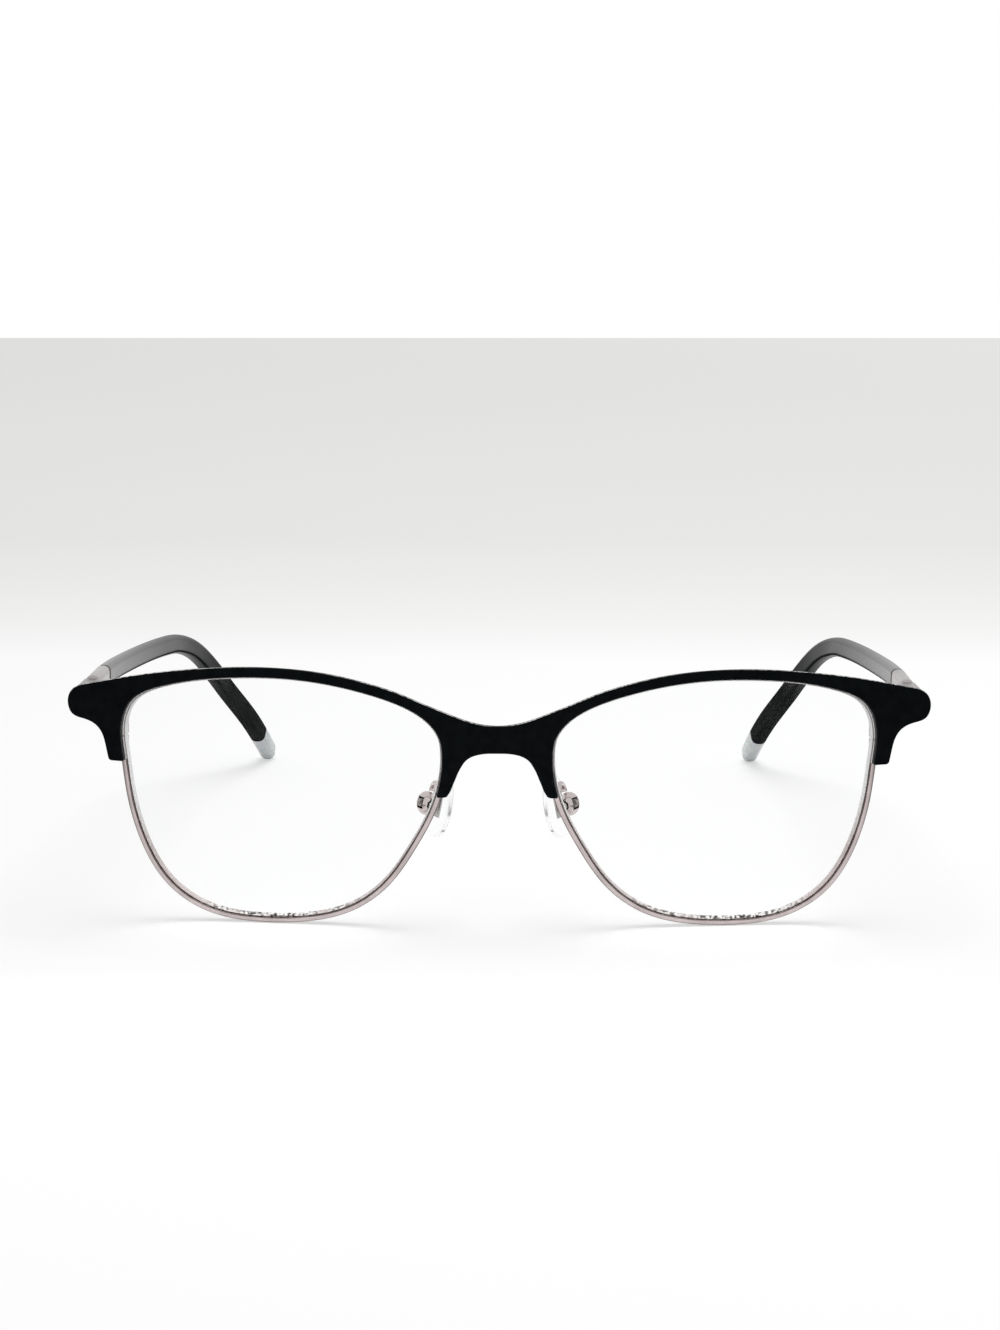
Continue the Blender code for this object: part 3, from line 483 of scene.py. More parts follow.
def makeLensEdge():  # ground glass, with patches of sparkle where it rests low in the rim
    # painted reflection: pinkish low down where the rim shows in the ground edge, near white higher up where
    # the backdrop shows through, and painted sparkle in patches low in the rim
    material, tree, shader = startMaterial("lensEdge")
    height = separated(tree, "TexCoord", "Object")["Z"]
    patches = between(tree, noise(tree, lensEdge["patchGrain"]), 0, 1, *lensEdge["patches"])
    low = between(tree, height, 1, 0, *lensEdge["sparkleTop"])
    speck = noise(tree, lensEdge["grain"])
    rise = between(tree, height, 0, 1, *lensEdge["paintedPaleFrom"])
    plain = ramp(tree, rise, ((0, lensEdge["low"]), (1, lensEdge["high"])))
    sparkle = ramp(tree, speck, lensEdge["specks"])
    colour = mixedColour(tree, calculated(tree, "MULTIPLY", patches, low), plain, sparkle)
    clad(tree, shader, colour, speck, lensEdge)
    return material


finish.update({name: makeClear(name) for name in clear}, lensEdge=makeLensEdge())
print("finishes made")


# Brow plate

plate = {
    "edgeRounding": 0.00018, "temporalCorner": 0.0005, "nasalCorner": 0.0008, "sliceLength": 0.0012,
    "edgePoints": 190, "archPoints": 50, "belowLock": 36,  # the last counts the rim's stations below its lock
    "outer": (
        (0.000, 0.784), (0.476, 0.798), (0.952, 0.833), (1.068, 0.872), (1.144, 0.912), (1.220, 0.9425),
        (1.333, 0.976), (1.447, 0.9945), (1.561, 1.000), (1.674, 0.995), (1.788, 0.981), (1.902, 0.960),
        (2.094, 0.931), (2.561, 0.909), (2.795, 0.8955), (2.895, 0.8835), (2.968, 0.864), (3.000, 0.838),
        (2.985, 0.813), (2.930, 0.7915), (2.840, 0.779), (2.720, 0.773), (2.560, 0.765), (2.430, 0.751),
        (2.336, 0.730), (2.275, 0.703), (2.225, 0.662), (2.193, 0.634),
    ),
    "arch": (
        (0.932, 0.524), (0.886, 0.538), (0.837, 0.562), (0.786, 0.586), (0.736, 0.610), (0.670, 0.634),
        (0.595, 0.654), (0.476, 0.669), (0.357, 0.676), (0.200, 0.680), (0.000, 0.6805),
    ),
    "temporalLeg": (2.175, 0.620), "nasalLeg": (0.952, 0.5145),
}


def across(share):  # 0 to 1 is half the bridge, 1 to 2 the lens and 2 to 3 the end piece
    spans = np.cumsum((0, glasses["bridgeWidth"] / 2, glasses["lensWidth"], glasses["endReach"]))
    return float(np.interp(share, (0, 1, 2, 3), spans))


def frontPoints(shares):
    return [np.array((across(side), frontHeight * up)) for side, up in shares]


def corner(before, at, after, size):  # rounds a corner of an outline
    start = at + (before - at) * min(size / np.linalg.norm(before - at), 0.9)
    end = at + (after - at) * min(size / np.linalg.norm(after - at), 0.9)
    return [start * (1 - t) ** 2 + at * 2 * t * (1 - t) + end * t ** 2 for t in np.linspace(0, 1, 9)]


def plateOutline():
    upper = frontPoints(plate["outer"])
    edge = smoothLine([point * (-1, 1) for point in upper[2:0:-1]] + upper)
    edge = spaced(edge[2 * lineSteps:], plate["edgePoints"])
    arch = frontPoints(plate["arch"])
    nose = smoothLine(arch + [point * (-1, 1) for point in arch[-2:-4:-1]])
    nose = spaced(nose[:(len(arch) - 1) * lineSteps + 1], plate["archPoints"])
    (temporalOut, temporalLow), (nasalOut, nasalLow) = frontPoints((plate["temporalLeg"], plate["nasalLeg"]))
    locked, lowest = -plate["belowLock"], temporalLow + plate["temporalCorner"]
    limits = np.where(opening[:, 0] > openingMiddle, lowest, nasalLow + plate["nasalCorner"])
    below = opening[locked:]
    foot = np.interp(temporalLow, below[:, 1], below[:, 0])
    lowerSide = [point[:2] for point in below[:-1] if point[1] > lowest]
    over = [point[:2] for point, limit in zip(opening[:locked], limits) if point[1] > limit]
    nasal = opening[(opening[:, 0] < openingMiddle) & (opening[:, 1] < over[-1][1])][0]
    nasalInner = over[-1] + (nasal[:2] - over[-1]) * (over[-1][1] - nasalLow) / (over[-1][1] - nasal[1])
    inner, outer = np.array((foot, temporalLow)), np.array((temporalOut, temporalLow))
    nasalOuter = np.array((nasalOut, nasalLow))
    half = list(edge) + corner(edge[-1], outer, inner, plate["temporalCorner"])
    half += corner(outer, inner, lowerSide[0], plate["temporalCorner"]) + lowerSide + over
    half += corner(over[-1], nasalInner, nasalOuter, plate["temporalCorner"])
    half += corner(nasalInner, nasalOuter, nose[0], plate["nasalCorner"]) + list(nose)
    return half + [point * (-1, 1) for point in half[-2:0:-1]]


def makePlate():
    thick, soft = glasses["plateThickness"], plate["edgeRounding"]
    shape = curveShape([(x, z, 0) for x, z in plateOutline()], 1e-6, dimensions="2D", fill_mode="BOTH",
                       extrude=thick / 2 - soft, bevel_depth=soft, bevel_resolution=2, offset=-soft)
    moved(shape, Matrix.Translation((0, thick / 2, 0)) @ rotation(90, "X"))
    # Sliced both ways, so that it can follow the curve of the front
    for axis, normal in ((0, Vector((1, 0, 0))), (2, Vector((0, 0, 1)))):
        places = [vertex.co[axis] for vertex in shape.verts]
        count = math.ceil((max(places) - min(places)) / plate["sliceLength"])
        for place in np.linspace(min(places), max(places), count + 1)[1:-1]:
            bmesh.ops.bisect_plane(shape, geom=shape.verts[:] + shape.edges[:] + shape.faces[:], dist=1e-6,
                                   plane_co=normal * place, plane_no=normal)
    shape.normal_update()
    for face in shape.faces:
        face.material_index = 0 if abs(face.normal.y) > 0.95 else 1
    bmesh.ops.triangulate(shape, faces=[face for face in shape.faces if len(face.verts) > 4])
    piece = addPiece("browPlate", bendToFront(shape), "front", "brow_plate", "plate_black",
                     "satinBlack", "blackEdge", sharp=60)
    weighted = piece.modifiers.new("even shading", "WEIGHTED_NORMAL")
    weighted.keep_sharp = True


makePlate()
print("brow plate made")


# Rims and lenses

rim = {"outerRounding": 0.00032, "innerRounding": 0.00010, "grooveMouth": 0.0009, "split": 0.0002,
       # the faces round the section painted dark as shade on the rounded edges, those on its inside (up to
       # one and from the other), and the share of the front's height from which the inside is painted pale as
       # lit
       "paintedShadeFaces": (0, 1, 2, 6, 7, 8, 9, 10, 12, 13, 14, 15, 20, 21, 22), "insideFaces": (3, 20),
       "paintedPaleFrom": 0.62}
lens = {"thickness": 0.0014, "clearance": 0.00008, "chamfer": 0.00012,
        "rings": (0.04, 0.14, 0.28, 0.44, 0.60, 0.76, 0.88, 0.96)}


def rimSection():  # outward and depth, round the wire
    width, large, small = glasses["rimWidth"], rim["outerRounding"], rim["innerRounding"]
    mouth, deep = rim["grooveMouth"] / 2, glasses["lensSeat"] + lens["clearance"]
    points = arc((small, rimFront + small), small, 180, 270, 4)
    points += arc((width - large, rimFront + large), large, 270, 360, 8)
    points += arc((width - large, rimBack - large), large, 0, 90, 8)
    points += arc((small, rimBack - small), small, 90, 180, 4)
    return points + [(0, rimMiddle + mouth), (deep, rimMiddle), (0, rimMiddle - mouth)]


def makeRim(name, side):
    line = opening.copy()
    line[0, 1] += rim["split"] / 2
    line[-1, 1] -= rim["split"] / 2
    section = rimSection()
    shape = loft([[(side * (x + out * outX), depth, z + out * outZ) for out, depth in section]
                  for x, z, outX, outZ in line])
    count, (low, high) = len(section), rim["insideFaces"]
    shape.faces.ensure_lookup_table()
    for i, face in enumerate(shape.faces[:count * (len(line) - 1)]):
        station, around = divmod(i, count)
        # painted light on the inside faces high up, painted shade on the rounded edges, and groove walls a
        # little darker
        if (around < low or around >= high) and line[station, 1] > frontHeight * rim["paintedPaleFrom"]:
            face.material_index = 3
        else:
            face.material_index = 2 if around in rim["paintedShadeFaces"] else int(around >= count - 4)
    addPiece(name + "Rim", bendToFront(shape), "front", name + "_rim", "rim_metal",
             "roseMetal", "roseGrooveShaded", "rosePaintedShade", "rosePaintedLight", sharp=50)


def makeLens(name, side):
    line = opening[:-1]
    middle, inset, chamfer = np.mean(line[:, :2], axis=0), lens["clearance"], lens["chamfer"]
    half, mouth = lens["thickness"] / 2, rim["grooveMouth"] / 2
    edge = ((-inset - chamfer, -half), (-inset, -half + chamfer), (-inset, -mouth), (glasses["lensSeat"], 0),
            (-inset, mouth), (-inset, half - chamfer), (-inset - chamfer, half))
    rows = [[middle + (point[:2] + point[2:] * edge[0][0] - middle) * share for point in line]
            for share in lens["rings"]]
    frontRows, backRows = [[[(side * x, rimMiddle + depth, z) for x, z in row] for row in rows]
                           for depth in (-half, half)]
    edgeRows = [[(side * (x + out * outX), rimMiddle + depth, z + out * outZ) for x, z, outX, outZ in line]
                for out, depth in edge]
    shape = loft(frontRows + edgeRows + backRows[::-1])
    count = len(line)
    first = len(frontRows) * count
    for i, face in enumerate(shape.faces):
        face.material_index = 1 if first <= i < first + (len(edge) - 1) * count else 0
    addPiece(name + "Lens", bendToFront(shape), "front", name + "_lens", "lens",
             "lensGlass", "lensEdge", sharp=30)


for name, side in sides:
    makeRim(name, side)
    makeLens(name, side)
print("rims and lenses made")


# Screws, used all over. Shares are of the shank's radius, and of the head's height and radius

driver = {"slotWidth": 0.0002, "slotDepth": 0.0002, "slotReach": 1.5}
screwForm = {"tipRadius": 0.7, "tipLength": 0.3, "headSoft": 0.3, "headFlat": 0.5}


def screwShape(end, underHead, top, radius, headRadius):
    # Along Z from the shank's end to the head, which may point either way
    way = 1 if top > underHead else -1
    soft = abs(top - underHead) * screwForm["headSoft"]
    profile = [(radius * screwForm["tipRadius"], end), (radius, end + way * radius * screwForm["tipLength"]),
               (radius, underHead), (headRadius - soft / 2, underHead),
               (headRadius, underHead + way * soft / 2)]
    profile += [(headRadius - soft * (1 - math.cos(a)), top - way * soft * (1 - math.sin(a)))
                for a in np.linspace(0, math.pi / 2, 5)]
    profile += [(headRadius * screwForm["headFlat"], top)]
    reach, half, deep = headRadius * driver["slotReach"], driver["slotWidth"] / 2, way * driver["slotDepth"]
    slot = block((-reach, -half, top - deep), (reach, half, top + deep))
    return carved(turned(profile, 48), ("DIFFERENCE", slot))


# Rim locks

lock = {"width": 0.0026, "back": 0.0008, "inset": 0.0001, "upper": 0.0028, "lower": 0.0017,
        "rounding": 0.00012, "screw": 0.0004, "head": 0.0007, "headHeight": 0.0005}


def makeLock(name, side):
    x, z = opening[0][:2]
    axes = Matrix(frontAxes(side * x, z)).transposed().to_4x4()
    matrix = frontMatrix @ Matrix.Translation(ontoFront(side * x, 0, z)) @ axes
    beside, behind = glasses["rimWidth"] + gap, rimBack + gap
    deepest = behind + lock["back"]
    outline = [(beside, rimFront), (lock["width"], rimFront), (lock["width"], deepest),
               (lock["inset"], deepest), (lock["inset"], behind), (beside, behind)]
    screwPlace = Matrix.Translation((side * (beside + lock["width"]) / 2, (rimFront + deepest) / 2, 0))
    edge = rim["split"] / 2
    for word, low, high in (("upper", edge, edge + lock["upper"]), ("lower", -edge - lock["lower"], -edge)):
        shape = loft([[(side * a, b, height) for a, b in outline] for height in (low, high)])
        shape = carved(shape, ("DIFFERENCE", moved(bore(lock["screw"], low, high), screwPlace)))
        addPiece(name + "Lock" + word.capitalize(), moved(shape, matrix), "front", name + "_rim_lock_" + word,
                 "rim_metal", "roseMetal", rounding=lock["rounding"])
    seat = -edge - lock["lower"] - gap
    screw = screwShape(edge + lock["upper"], seat, seat - lock["headHeight"], lock["screw"], lock["head"])
    addPiece(name + "LockScrew", moved(screw, matrix @ screwPlace), "front", name + "_lock_screw",
             "screw_steel", "steel")


# Nose pads, their cups and arms

cup = {"radius": 0.00195, "length": 0.0027, "rounding": 0.0010, "setback": 0.0085, "outset": 0.0032,
       "height": 0.446, "yaw": 34, "splay": 14, "screw": 0.0004, "head": 0.0007, "headHeight": 0.0005,
       "fullness": 0.9, "recess": 0.00018}
pad = {"length": 0.0110, "width": 0.0063, "thickness": 0.0019, "flare": 0.16, "gap": 0.0004, "fullness": 0.7}
insert = {"width": 0.0013, "height": 0.0013, "plateLength": 0.0042, "plateWidth": 0.0024,
          "plateThickness": 0.0003, "end": 0.0010, "play": 0.0003, "rounding": 0.00006}
arm = {"radius": 0.00045, "rise": 0.0018, "offset": 0.0005, "gap": 0.0001, "root": 0.497, "points": 70,
       # how far the wire has risen, at shares of the way from the rim to the cup
       "shares": ((0.0, 0.0), (0.08, 0.0), (0.20, 0.34), (0.36, 0.84), (0.55, 1.0), (0.76, 0.90),
                  (0.93, 0.60), (1.0, 0.27), (1.0, 0.0))}


def cupMatrix(side):  # x across the pad, y along the screw and z up the pad
    outset = glasses["bridgeWidth"] / 2 + cup["outset"]
    place = Matrix.Translation((side * outset, cup["setback"], frontHeight * cup["height"]))
    return place @ rotation(-side * cup["yaw"], "Z") @ rotation(-side * cup["splay"], "Y")


def makeCup(name, side):
    half, radius, full = cup["length"] / 2, cup["radius"], cup["fullness"]
    profile = [(radius * math.cos(a) ** full, math.copysign(half * abs(math.sin(a)) ** full, a))
               for a in np.radians(np.linspace(-86, 86, 29))]
    body = moved(turned(profile, 72), rotation(90, "Y"))
    wide, high = insert["width"] / 2 + insert["play"] / 2, insert["height"] / 2 + insert["play"]
    slot = block((-side * (half + overrun), -wide, -high),
                 (side * (insert["end"] + insert["play"]), wide, high))
    along = rotation(-90, "X")  # turns Z to Y
    underHead, mouth = -radius + cup["headHeight"] / 2, cup["head"] + cup["recess"]
    recess = turned([(mouth, -radius - overrun), (mouth, underHead + glasses["boreGap"])], 40)
    hole = moved(bore(cup["screw"], -radius, radius), along)
    shape = carved(body, ("DIFFERENCE", slot), ("DIFFERENCE", hole), ("DIFFERENCE", moved(recess, along)))
    # painted shade: the recess round the screw gets the matt black
    for face in shape.faces:
        middle = face.calc_center_median()
        face.material_index = 1 if middle.y < 0 and math.hypot(middle.x, middle.z) < mouth + 0.00001 else 0
    matrix = frontMatrix @ cupMatrix(side)
    addPiece(name + "PadCup", moved(shape, matrix), "front", name + "_pad_cup", "rim_metal",
             "polishedMetal", "recessShadeBlack")
    end, top = radius - cup["rounding"], underHead - cup["headHeight"]
    screw = screwShape(end, underHead, top, cup["screw"], cup["head"])
    addPiece(name + "PadScrew", moved(screw, matrix @ along), "front", name + "_pad_screw", "screw_steel",
             "steel")


def makePad(name, side):
    matrix = frontMatrix @ cupMatrix(side)
    back, thick = cup["length"] / 2 + pad["gap"], pad["thickness"] / 2
    shape = bmesh.new()
    bmesh.ops.create_uvsphere(shape, u_segments=72, v_segments=48, radius=1)
    for vertex in shape.verts:
        x, y, z = vertex.co
        deep = math.copysign(abs(x) ** pad["fullness"], x) * pad["thickness"] / 2
        wide = y * (1 - pad["flare"] * z) * pad["width"] / 2
        vertex.co = (-side * (back + thick) + deep, wide, z * pad["length"] / 2)
    addPiece(name + "NosePad", moved(shape, matrix), name + "_pad", name + "_nose_pad", "pad_clear",
             "clearSilicone")
    half, thick = insert["height"] / 2, insert["plateThickness"]
    tab = block((side * insert["end"], -insert["width"] / 2, -half),
                (-side * (back + thick * 1.5), insert["width"] / 2, half))
    leaf = block((-side * (back + thick), -insert["plateWidth"] / 2, -insert["plateLength"] / 2),
                 (-side * (back + 2 * thick), insert["plateWidth"] / 2, insert["plateLength"] / 2))
    eye = moved(bore(cup["screw"], -overrun, overrun), rotation(90, "X"))
    addPiece(name + "PadInsert", moved(carved(tab, ("UNION", leaf), ("DIFFERENCE", eye)), matrix),
             name + "_pad", name + "_pad_insert", "screw_steel", "steel", rounding=insert["rounding"])


def makeArm(name, side):
    height = frontHeight * arm["root"]
    nasal = opening[opening[:, 0] < openingMiddle]
    x = np.interp(height, nasal[::-1, 1], nasal[::-1, 0]) - glasses["rimWidth"] / 2
    fixed = cupMatrix(side)
    start = ontoFront(side * x, rimBack + gap, height)
    end = fixed @ Vector((-side * arm["offset"], 0, cup["radius"] + arm["gap"]))
    up = fixed.to_3x3() @ Vector((0, 0, arm["rise"]))
    line = smoothLine([start.lerp(end, along) + up * risen for along, risen in arm["shares"]])
    wire = curveShape(spaced(line, arm["points"], 3), 1e-7, dimensions="3D", bevel_depth=arm["radius"],
                      bevel_resolution=6, use_fill_caps=True)
    addPiece(name + "PadArm", moved(wire, frontMatrix), "front", name + "_pad_arm", "rim_metal",
             "polishedMetal", sharp=50)


for name, side in sides:
    makeLock(name, side)
    makeCup(name, side)
    makePad(name, side)
    makeArm(name, side)
print("locks, cups, pads and arms made")


# End pieces and hinges

hinge = {"barrel": 0.0011, "height": 0.0024, "drop": 0.0006, "gap": 0.0001, "knuckleGap": 0.00005,
         "leafLength": 0.0028, "leafThickness": 0.0008, "leafMargin": 0.0001, "screw": 0.0006, "head": 0.0010,
         "headHeight": 0.0004, "rounding": 0.00008}
endPiece = {"armThickness": 0.0011, "rounding": 0.0003, "rows": 16,
            # how far its top falls and its outer side flares towards the plate, and over what length
            "fall": 0.0011, "fallStart": 0.35, "flare": 0.0009, "fallLength": 0.0022}
temple = {
    "thickness": 0.0023, "height": 0.0036, "headLength": 0.0104, "reach": 0.12649, "inset": 0.0155,
    "earThickness": 0.0032, "earHeight": 0.0040, "tipLength": 0.0112, "edge": 0.42, "seam": 0.00012,
    # the groove is painted dark as shade
    "groove": (0.00015, 0.00055),  # how deep and long the dark groove is at the front of the sleeve
    "turns": 9, "sleeveRings": 150,
    "headRings": (0.0006, 0.0004, 12),  # how far from the head's two ends they run, and how many
    "line": (
        (0.000, 0.000, 0.000), (0.044, 0.000, 0.000), (0.0875, 0.000, 0.002), (0.2375, 0.022, 0.030),
        (0.4375, 0.072, 0.084), (0.5875, 0.124, 0.135), (0.6625, 0.176, 0.173), (0.7208, 0.284, 0.237),
        (0.7792, 0.445, 0.372), (0.829, 0.615, 0.531), (0.8875, 0.825, 0.718), (0.954, 0.965, 0.906),
        (1.000, 1.000, 1.000),
    ),
    "swell": ((0.0, 0.0), (0.42, 0.0), (0.62, 0.30), (0.74, 0.85), (0.84, 1.0), (1.0, 1.0)),
    "end": ((0.0, 1.0), (0.2, 0.985), (0.35, 0.94), (0.5, 0.865), (0.65, 0.76), (0.78, 0.63), (0.87, 0.50),
            (0.95, 0.34), (1.0, 0.16)),
    "dome": ((0.0, 1.0), (0.45, 0.80), (0.85, 0.45), (1.0, 0.10)), "domeLength": 0.0009,
}
innerFace = hinge["barrel"] + hinge["gap"]
outerFace = innerFace + temple["thickness"]
templeMiddle = (innerFace + outerFace) / 2
joints = {joint["name"]: Vector(joint["pos_m"]) for joint in frame["joints"]}


def plateBack(x, z):  # how far back the rear of the plate is at a place given square to the axes
    flatX, flatZ = x, z
    for _ in range(12):
        point = frontMatrix @ ontoFront(flatX, glasses["plateThickness"] + gap, flatZ)
        flatX += x - point.x
        flatZ += z - point.z
    return point.y


def makeEndPiece(name, side, pivot):
    inner, outer = side * pivot.x + innerFace, side * pivot.x + outerFace
    thick, butt, half = endPiece["armThickness"], pivot.y - gap, temple["height"] / 2
    rimEdge = opening[:, 0].max() + glasses["rimWidth"]
    rings = []
    for z in np.linspace(pivot.z - half, pivot.z + half, endPiece["rows"]):
        ring = [(x, plateBack(x, z)) for x in np.linspace(rimEdge, outer + endPiece["flare"], 24)]
        turn, fillet = plateBack(inner, z) + thick, thick / 3
        ring += [(outer, butt), (inner, butt), (inner, turn + fillet)]
        ring += arc((inner - fillet, turn + fillet), fillet, -18, -90, 5)[1:]
        ring += [(x, plateBack(x, z) + thick) for x in np.linspace(inner - fillet, rimEdge, 14)[1:]]
        fallen = endPiece["fall"] * max(0, z - pivot.z) / half
        shares = [min(1, endPiece["fallStart"] + (butt - y) / endPiece["fallLength"]) for _, y in ring]
        rings.append([(side * x, y, z - fallen * share) for (x, y), share in zip(ring, shares)])
    addPiece(name + "EndPiece", loft(rings), "front", name + "_end_piece", "rim_metal", "templeMetal",
             rounding=endPiece["rounding"])


def makeHinge(name, side, pivot):
    place = Matrix.Translation(pivot - Vector((0, 0, hinge["drop"])))
    knuckle = (hinge["height"] - 2 * hinge["knuckleGap"]) / 3
    half, radius, soft = hinge["height"] / 2, hinge["barrel"], hinge["rounding"]
    leafHalf, leafOuter = half - hinge["leafMargin"], innerFace - gap
    past, swing = half + overrun, radius + hinge["gap"]
    front = ("FrontLeaf", "_hinge_front_leaf", "front", -1,
             ((-half, -half + knuckle), (half - knuckle, half)),
             ((-knuckle / 2 - hinge["knuckleGap"], knuckle / 2 + hinge["knuckleGap"]),))
    rear = ("RearLeaf", "_hinge_rear_leaf", name + "_temple", 1, ((-knuckle / 2, knuckle / 2),),
            ((-past, -knuckle / 2), (knuckle / 2, past)))
    for word, node, body, way, knuckles, notches in (front, rear):
        shape = block((side * (leafOuter - hinge["leafThickness"]), 0, -leafHalf),
                      (side * leafOuter, way * hinge["leafLength"], leafHalf))
        steps = [("DIFFERENCE", turned([(swing, low), (swing, high)])) for low, high in notches]
        for low, high in knuckles:
            steps.append(("UNION", turned([(radius - soft, low), (radius, low + soft),
                                           (radius, high - soft), (radius - soft, high)])))
        steps.append(("DIFFERENCE", bore(hinge["screw"], -half, half)))
        addPiece(name + word, moved(carved(shape, *steps), place), body, name + node, "hinge_steel",
                 "steel")
    seat = -half - gap
    screw = screwShape(half, seat, seat - hinge["headHeight"], hinge["screw"], hinge["head"])
    addPiece(name + "HingeScrew", moved(screw, place), "front", name + "_hinge_screw", "screw_steel",
             "steel")


# Temples

def templeLine(side, drop):  # the middle of the temple from the hinge to the end, and how far along
    line = smoothLine(np.array(temple["line"]) * (temple["reach"], temple["inset"], drop))
    places = np.stack([side * (templeMiddle - line[:, 1]), line[:, 0], -line[:, 2]], axis=1)
    steps = np.linalg.norm(np.diff(places, axis=0), axis=1)
    return np.column_stack([places, np.concatenate([[0], np.cumsum(steps)])])


def alongTemple(line, distance, probe=0.0008):
    place, ahead, behind = [Vector([np.interp(distance + step, line[:, 3], line[:, axis])
                                    for axis in range(3)]) for step in (0, probe, -probe)]
    forward = (ahead - behind).normalized()
    sideways = forward.cross(Vector((0, 0, 1))).normalized()
    return place, sideways, sideways.cross(forward)


def roundedSection(thickness, height):
    soft = min(thickness, height) * temple["edge"]
    points = []
    for quarter, (acrossSign, upSign) in enumerate(((1, 1), (-1, 1), (-1, -1), (1, -1))):
        middle = (acrossSign * (thickness / 2 - soft), upSign * (height / 2 - soft))
        points += arc(middle, soft, quarter * 90, quarter * 90 + 90, temple["turns"])
    return points


def templeRing(line, distance, scale=1.0, shift=0.0, inset=0.0):
    swell = np.interp(distance / line[-1, 3], *zip(*temple["swell"]))
    thickness, height = [(temple[size] + (temple[ear] - temple[size]) * swell) * scale - 2 * inset
                         for size, ear in (("thickness", "earThickness"), ("height", "earHeight"))]
    place, sideways, up = alongTemple(line, distance + shift)
    return [place + sideways * x + up * z for x, z in roundedSection(thickness, height)]


def tipRings(line):
    length, tip, roundedLength = line[-1, 3], temple["tipLength"], temple["earHeight"] / 2
    straight = tip - roundedLength
    body = [templeRing(line, length - tip + straight * share) for share in np.linspace(0.1, 0.95, 10)]
    return body + [templeRing(line, length - roundedLength * (1 - along), scale)
                   for along, scale in temple["end"]]


def restingLine(side, height):  # the line whose rounded end just reaches the ground
    drop = height
    for _ in range(3):
        line = templeLine(side, drop)
        drop += height + min(point.z for ring in tipRings(line) for point in ring)
    return templeLine(side, drop)


def makeTemple(name, side, pivot):
    line = restingLine(side, pivot.z)
    length, soft, headLength = line[-1, 3], temple["seam"], temple["headLength"]
    joint, front = length - temple["tipLength"], headLength + gap
    matrix, body = Matrix.Translation(pivot), name + "_temple"

    def headRing(distance, inset=0):
        section = roundedSection(temple["thickness"] - 2 * inset, temple["height"] - 2 * inset)
        return [Vector((side * templeMiddle + x, distance, z)) for x, z in section]

    first, last, count = temple["headRings"]
    head = loft([headRing(gap, soft), headRing(gap + soft)]
                + [headRing(place) for place in np.linspace(first, headLength - last, count)]
                + [headRing(headLength - soft), headRing(headLength, soft)])
    addPiece(name + "TempleHead", moved(head, matrix), body, name + "_temple_core", "hinge_steel",
             "templeMetal", sharp=50)
    deep, long = temple["groove"]
    rings = [templeRing(line, front, inset=deep), templeRing(line, front + long - deep, inset=deep)]
    rings += [templeRing(line, place)
              for place in np.linspace(front + long, joint - soft, temple["sleeveRings"])]
    rings += [templeRing(line, joint, scale, along * temple["domeLength"]) for along, scale in temple["dome"]]
    sleeve = loft(rings)
    # painted shade: the groove at the front of the sleeve gets the matt black
    for face in sleeve.faces:
        face.material_index = 1 if max(vertex.co.y for vertex in face.verts) < front + long * 1.05 else 0
    addPiece(name + "Sleeve", moved(sleeve, matrix), body, name + "_temple_sleeve", "temple_acetate",
             "blackAcetate", "recessShadeBlack", sharp=50)
    hollow = [templeRing(line, joint, scale, along * temple["domeLength"] + gap)
              for along, scale in temple["dome"]]
    addPiece(name + "TempleTip", moved(loft(hollow[::-1] + tipRings(line)), matrix), body,
             name + "_temple_tip", "tip_acetate", "greyAcetate", sharp=50)


for name, side in sides:
    pivot = joints[name + "_temple_fold"]
    makeEndPiece(name, side, pivot)
    makeHinge(name, side, pivot)
    makeTemple(name, side, pivot)
print("end pieces, hinges and temples made")


# Floor, light and camera

floor = {
    "near": -3.0, "far": 2.145, "farSlant": 0.06, "side": 4.0, "ownLight": 0.55,
    # painted light: the paper gets lighter from left to right by this much, between these places
    "paintedSideLight": 0.06, "sideReach": 0.5,  # how much lighter it gets from left to right, and between where
    "warmth": 0.98, "warmFrom": 0.25,
    # how far back, and the colour there as it is seen, with the light's falloff along the paper painted in
    "tones": ((-0.1030, 1.0), (-0.0920, 0.950), (0.139, 0.952), (0.1973, 0.957), (0.2312, 0.919),
              (0.268, 0.893), (0.309, 0.879), (0.354, 0.868), (0.4045, 0.868), (0.462, 0.858),
              (0.6005, 0.893), (0.786, 0.919), (0.972, 0.935), (1.22, 0.939), (2.37, 0.952)),
    # painted dark reflection: shiny surfaces see the paper darker beside the glasses, as if dark cards lay
    # there, in a wedge from this far out
    "darkInReflection": {"dark": 0.40, "from": 0.065, "to": 0.100, "wedge": 0.6, "middle": -0.07},
}
light = {"world": 0.60, "front": 0.30, "behind": (-0.75, 0.25), "above": (0.15, 0.65),
         "lampPower": 2.4, "lampSize": 0.45, "lampPlace": (0.05, 0.0463, 0.62),
         # what shiny surfaces see of the room: light in front and behind, dark at the sides, and its ceiling
         "reflected": {"strength": 0.9, "light": 1.0, "dark": 0.18, "sides": (0.80, 0.97),
                       "above": (0.30, 0.72)}}
cameraView = {"place": (0.00707136, -0.482499, 0.112483), "yaw": 0.016139, "pitch": 0.165774,
              "roll": 0.002021, "focalPixels": 2646.12, "imageHeight": 1330, "sensor": 36}


def seenDirectly(tree, *rays):  # 1 for the rays that show the background
    path = added(tree, "LightPath").outputs
    total = path["Is Camera Ray"]
    for ray in rays:
        total = calculated(tree, "MAXIMUM", total, path[ray])
    return total


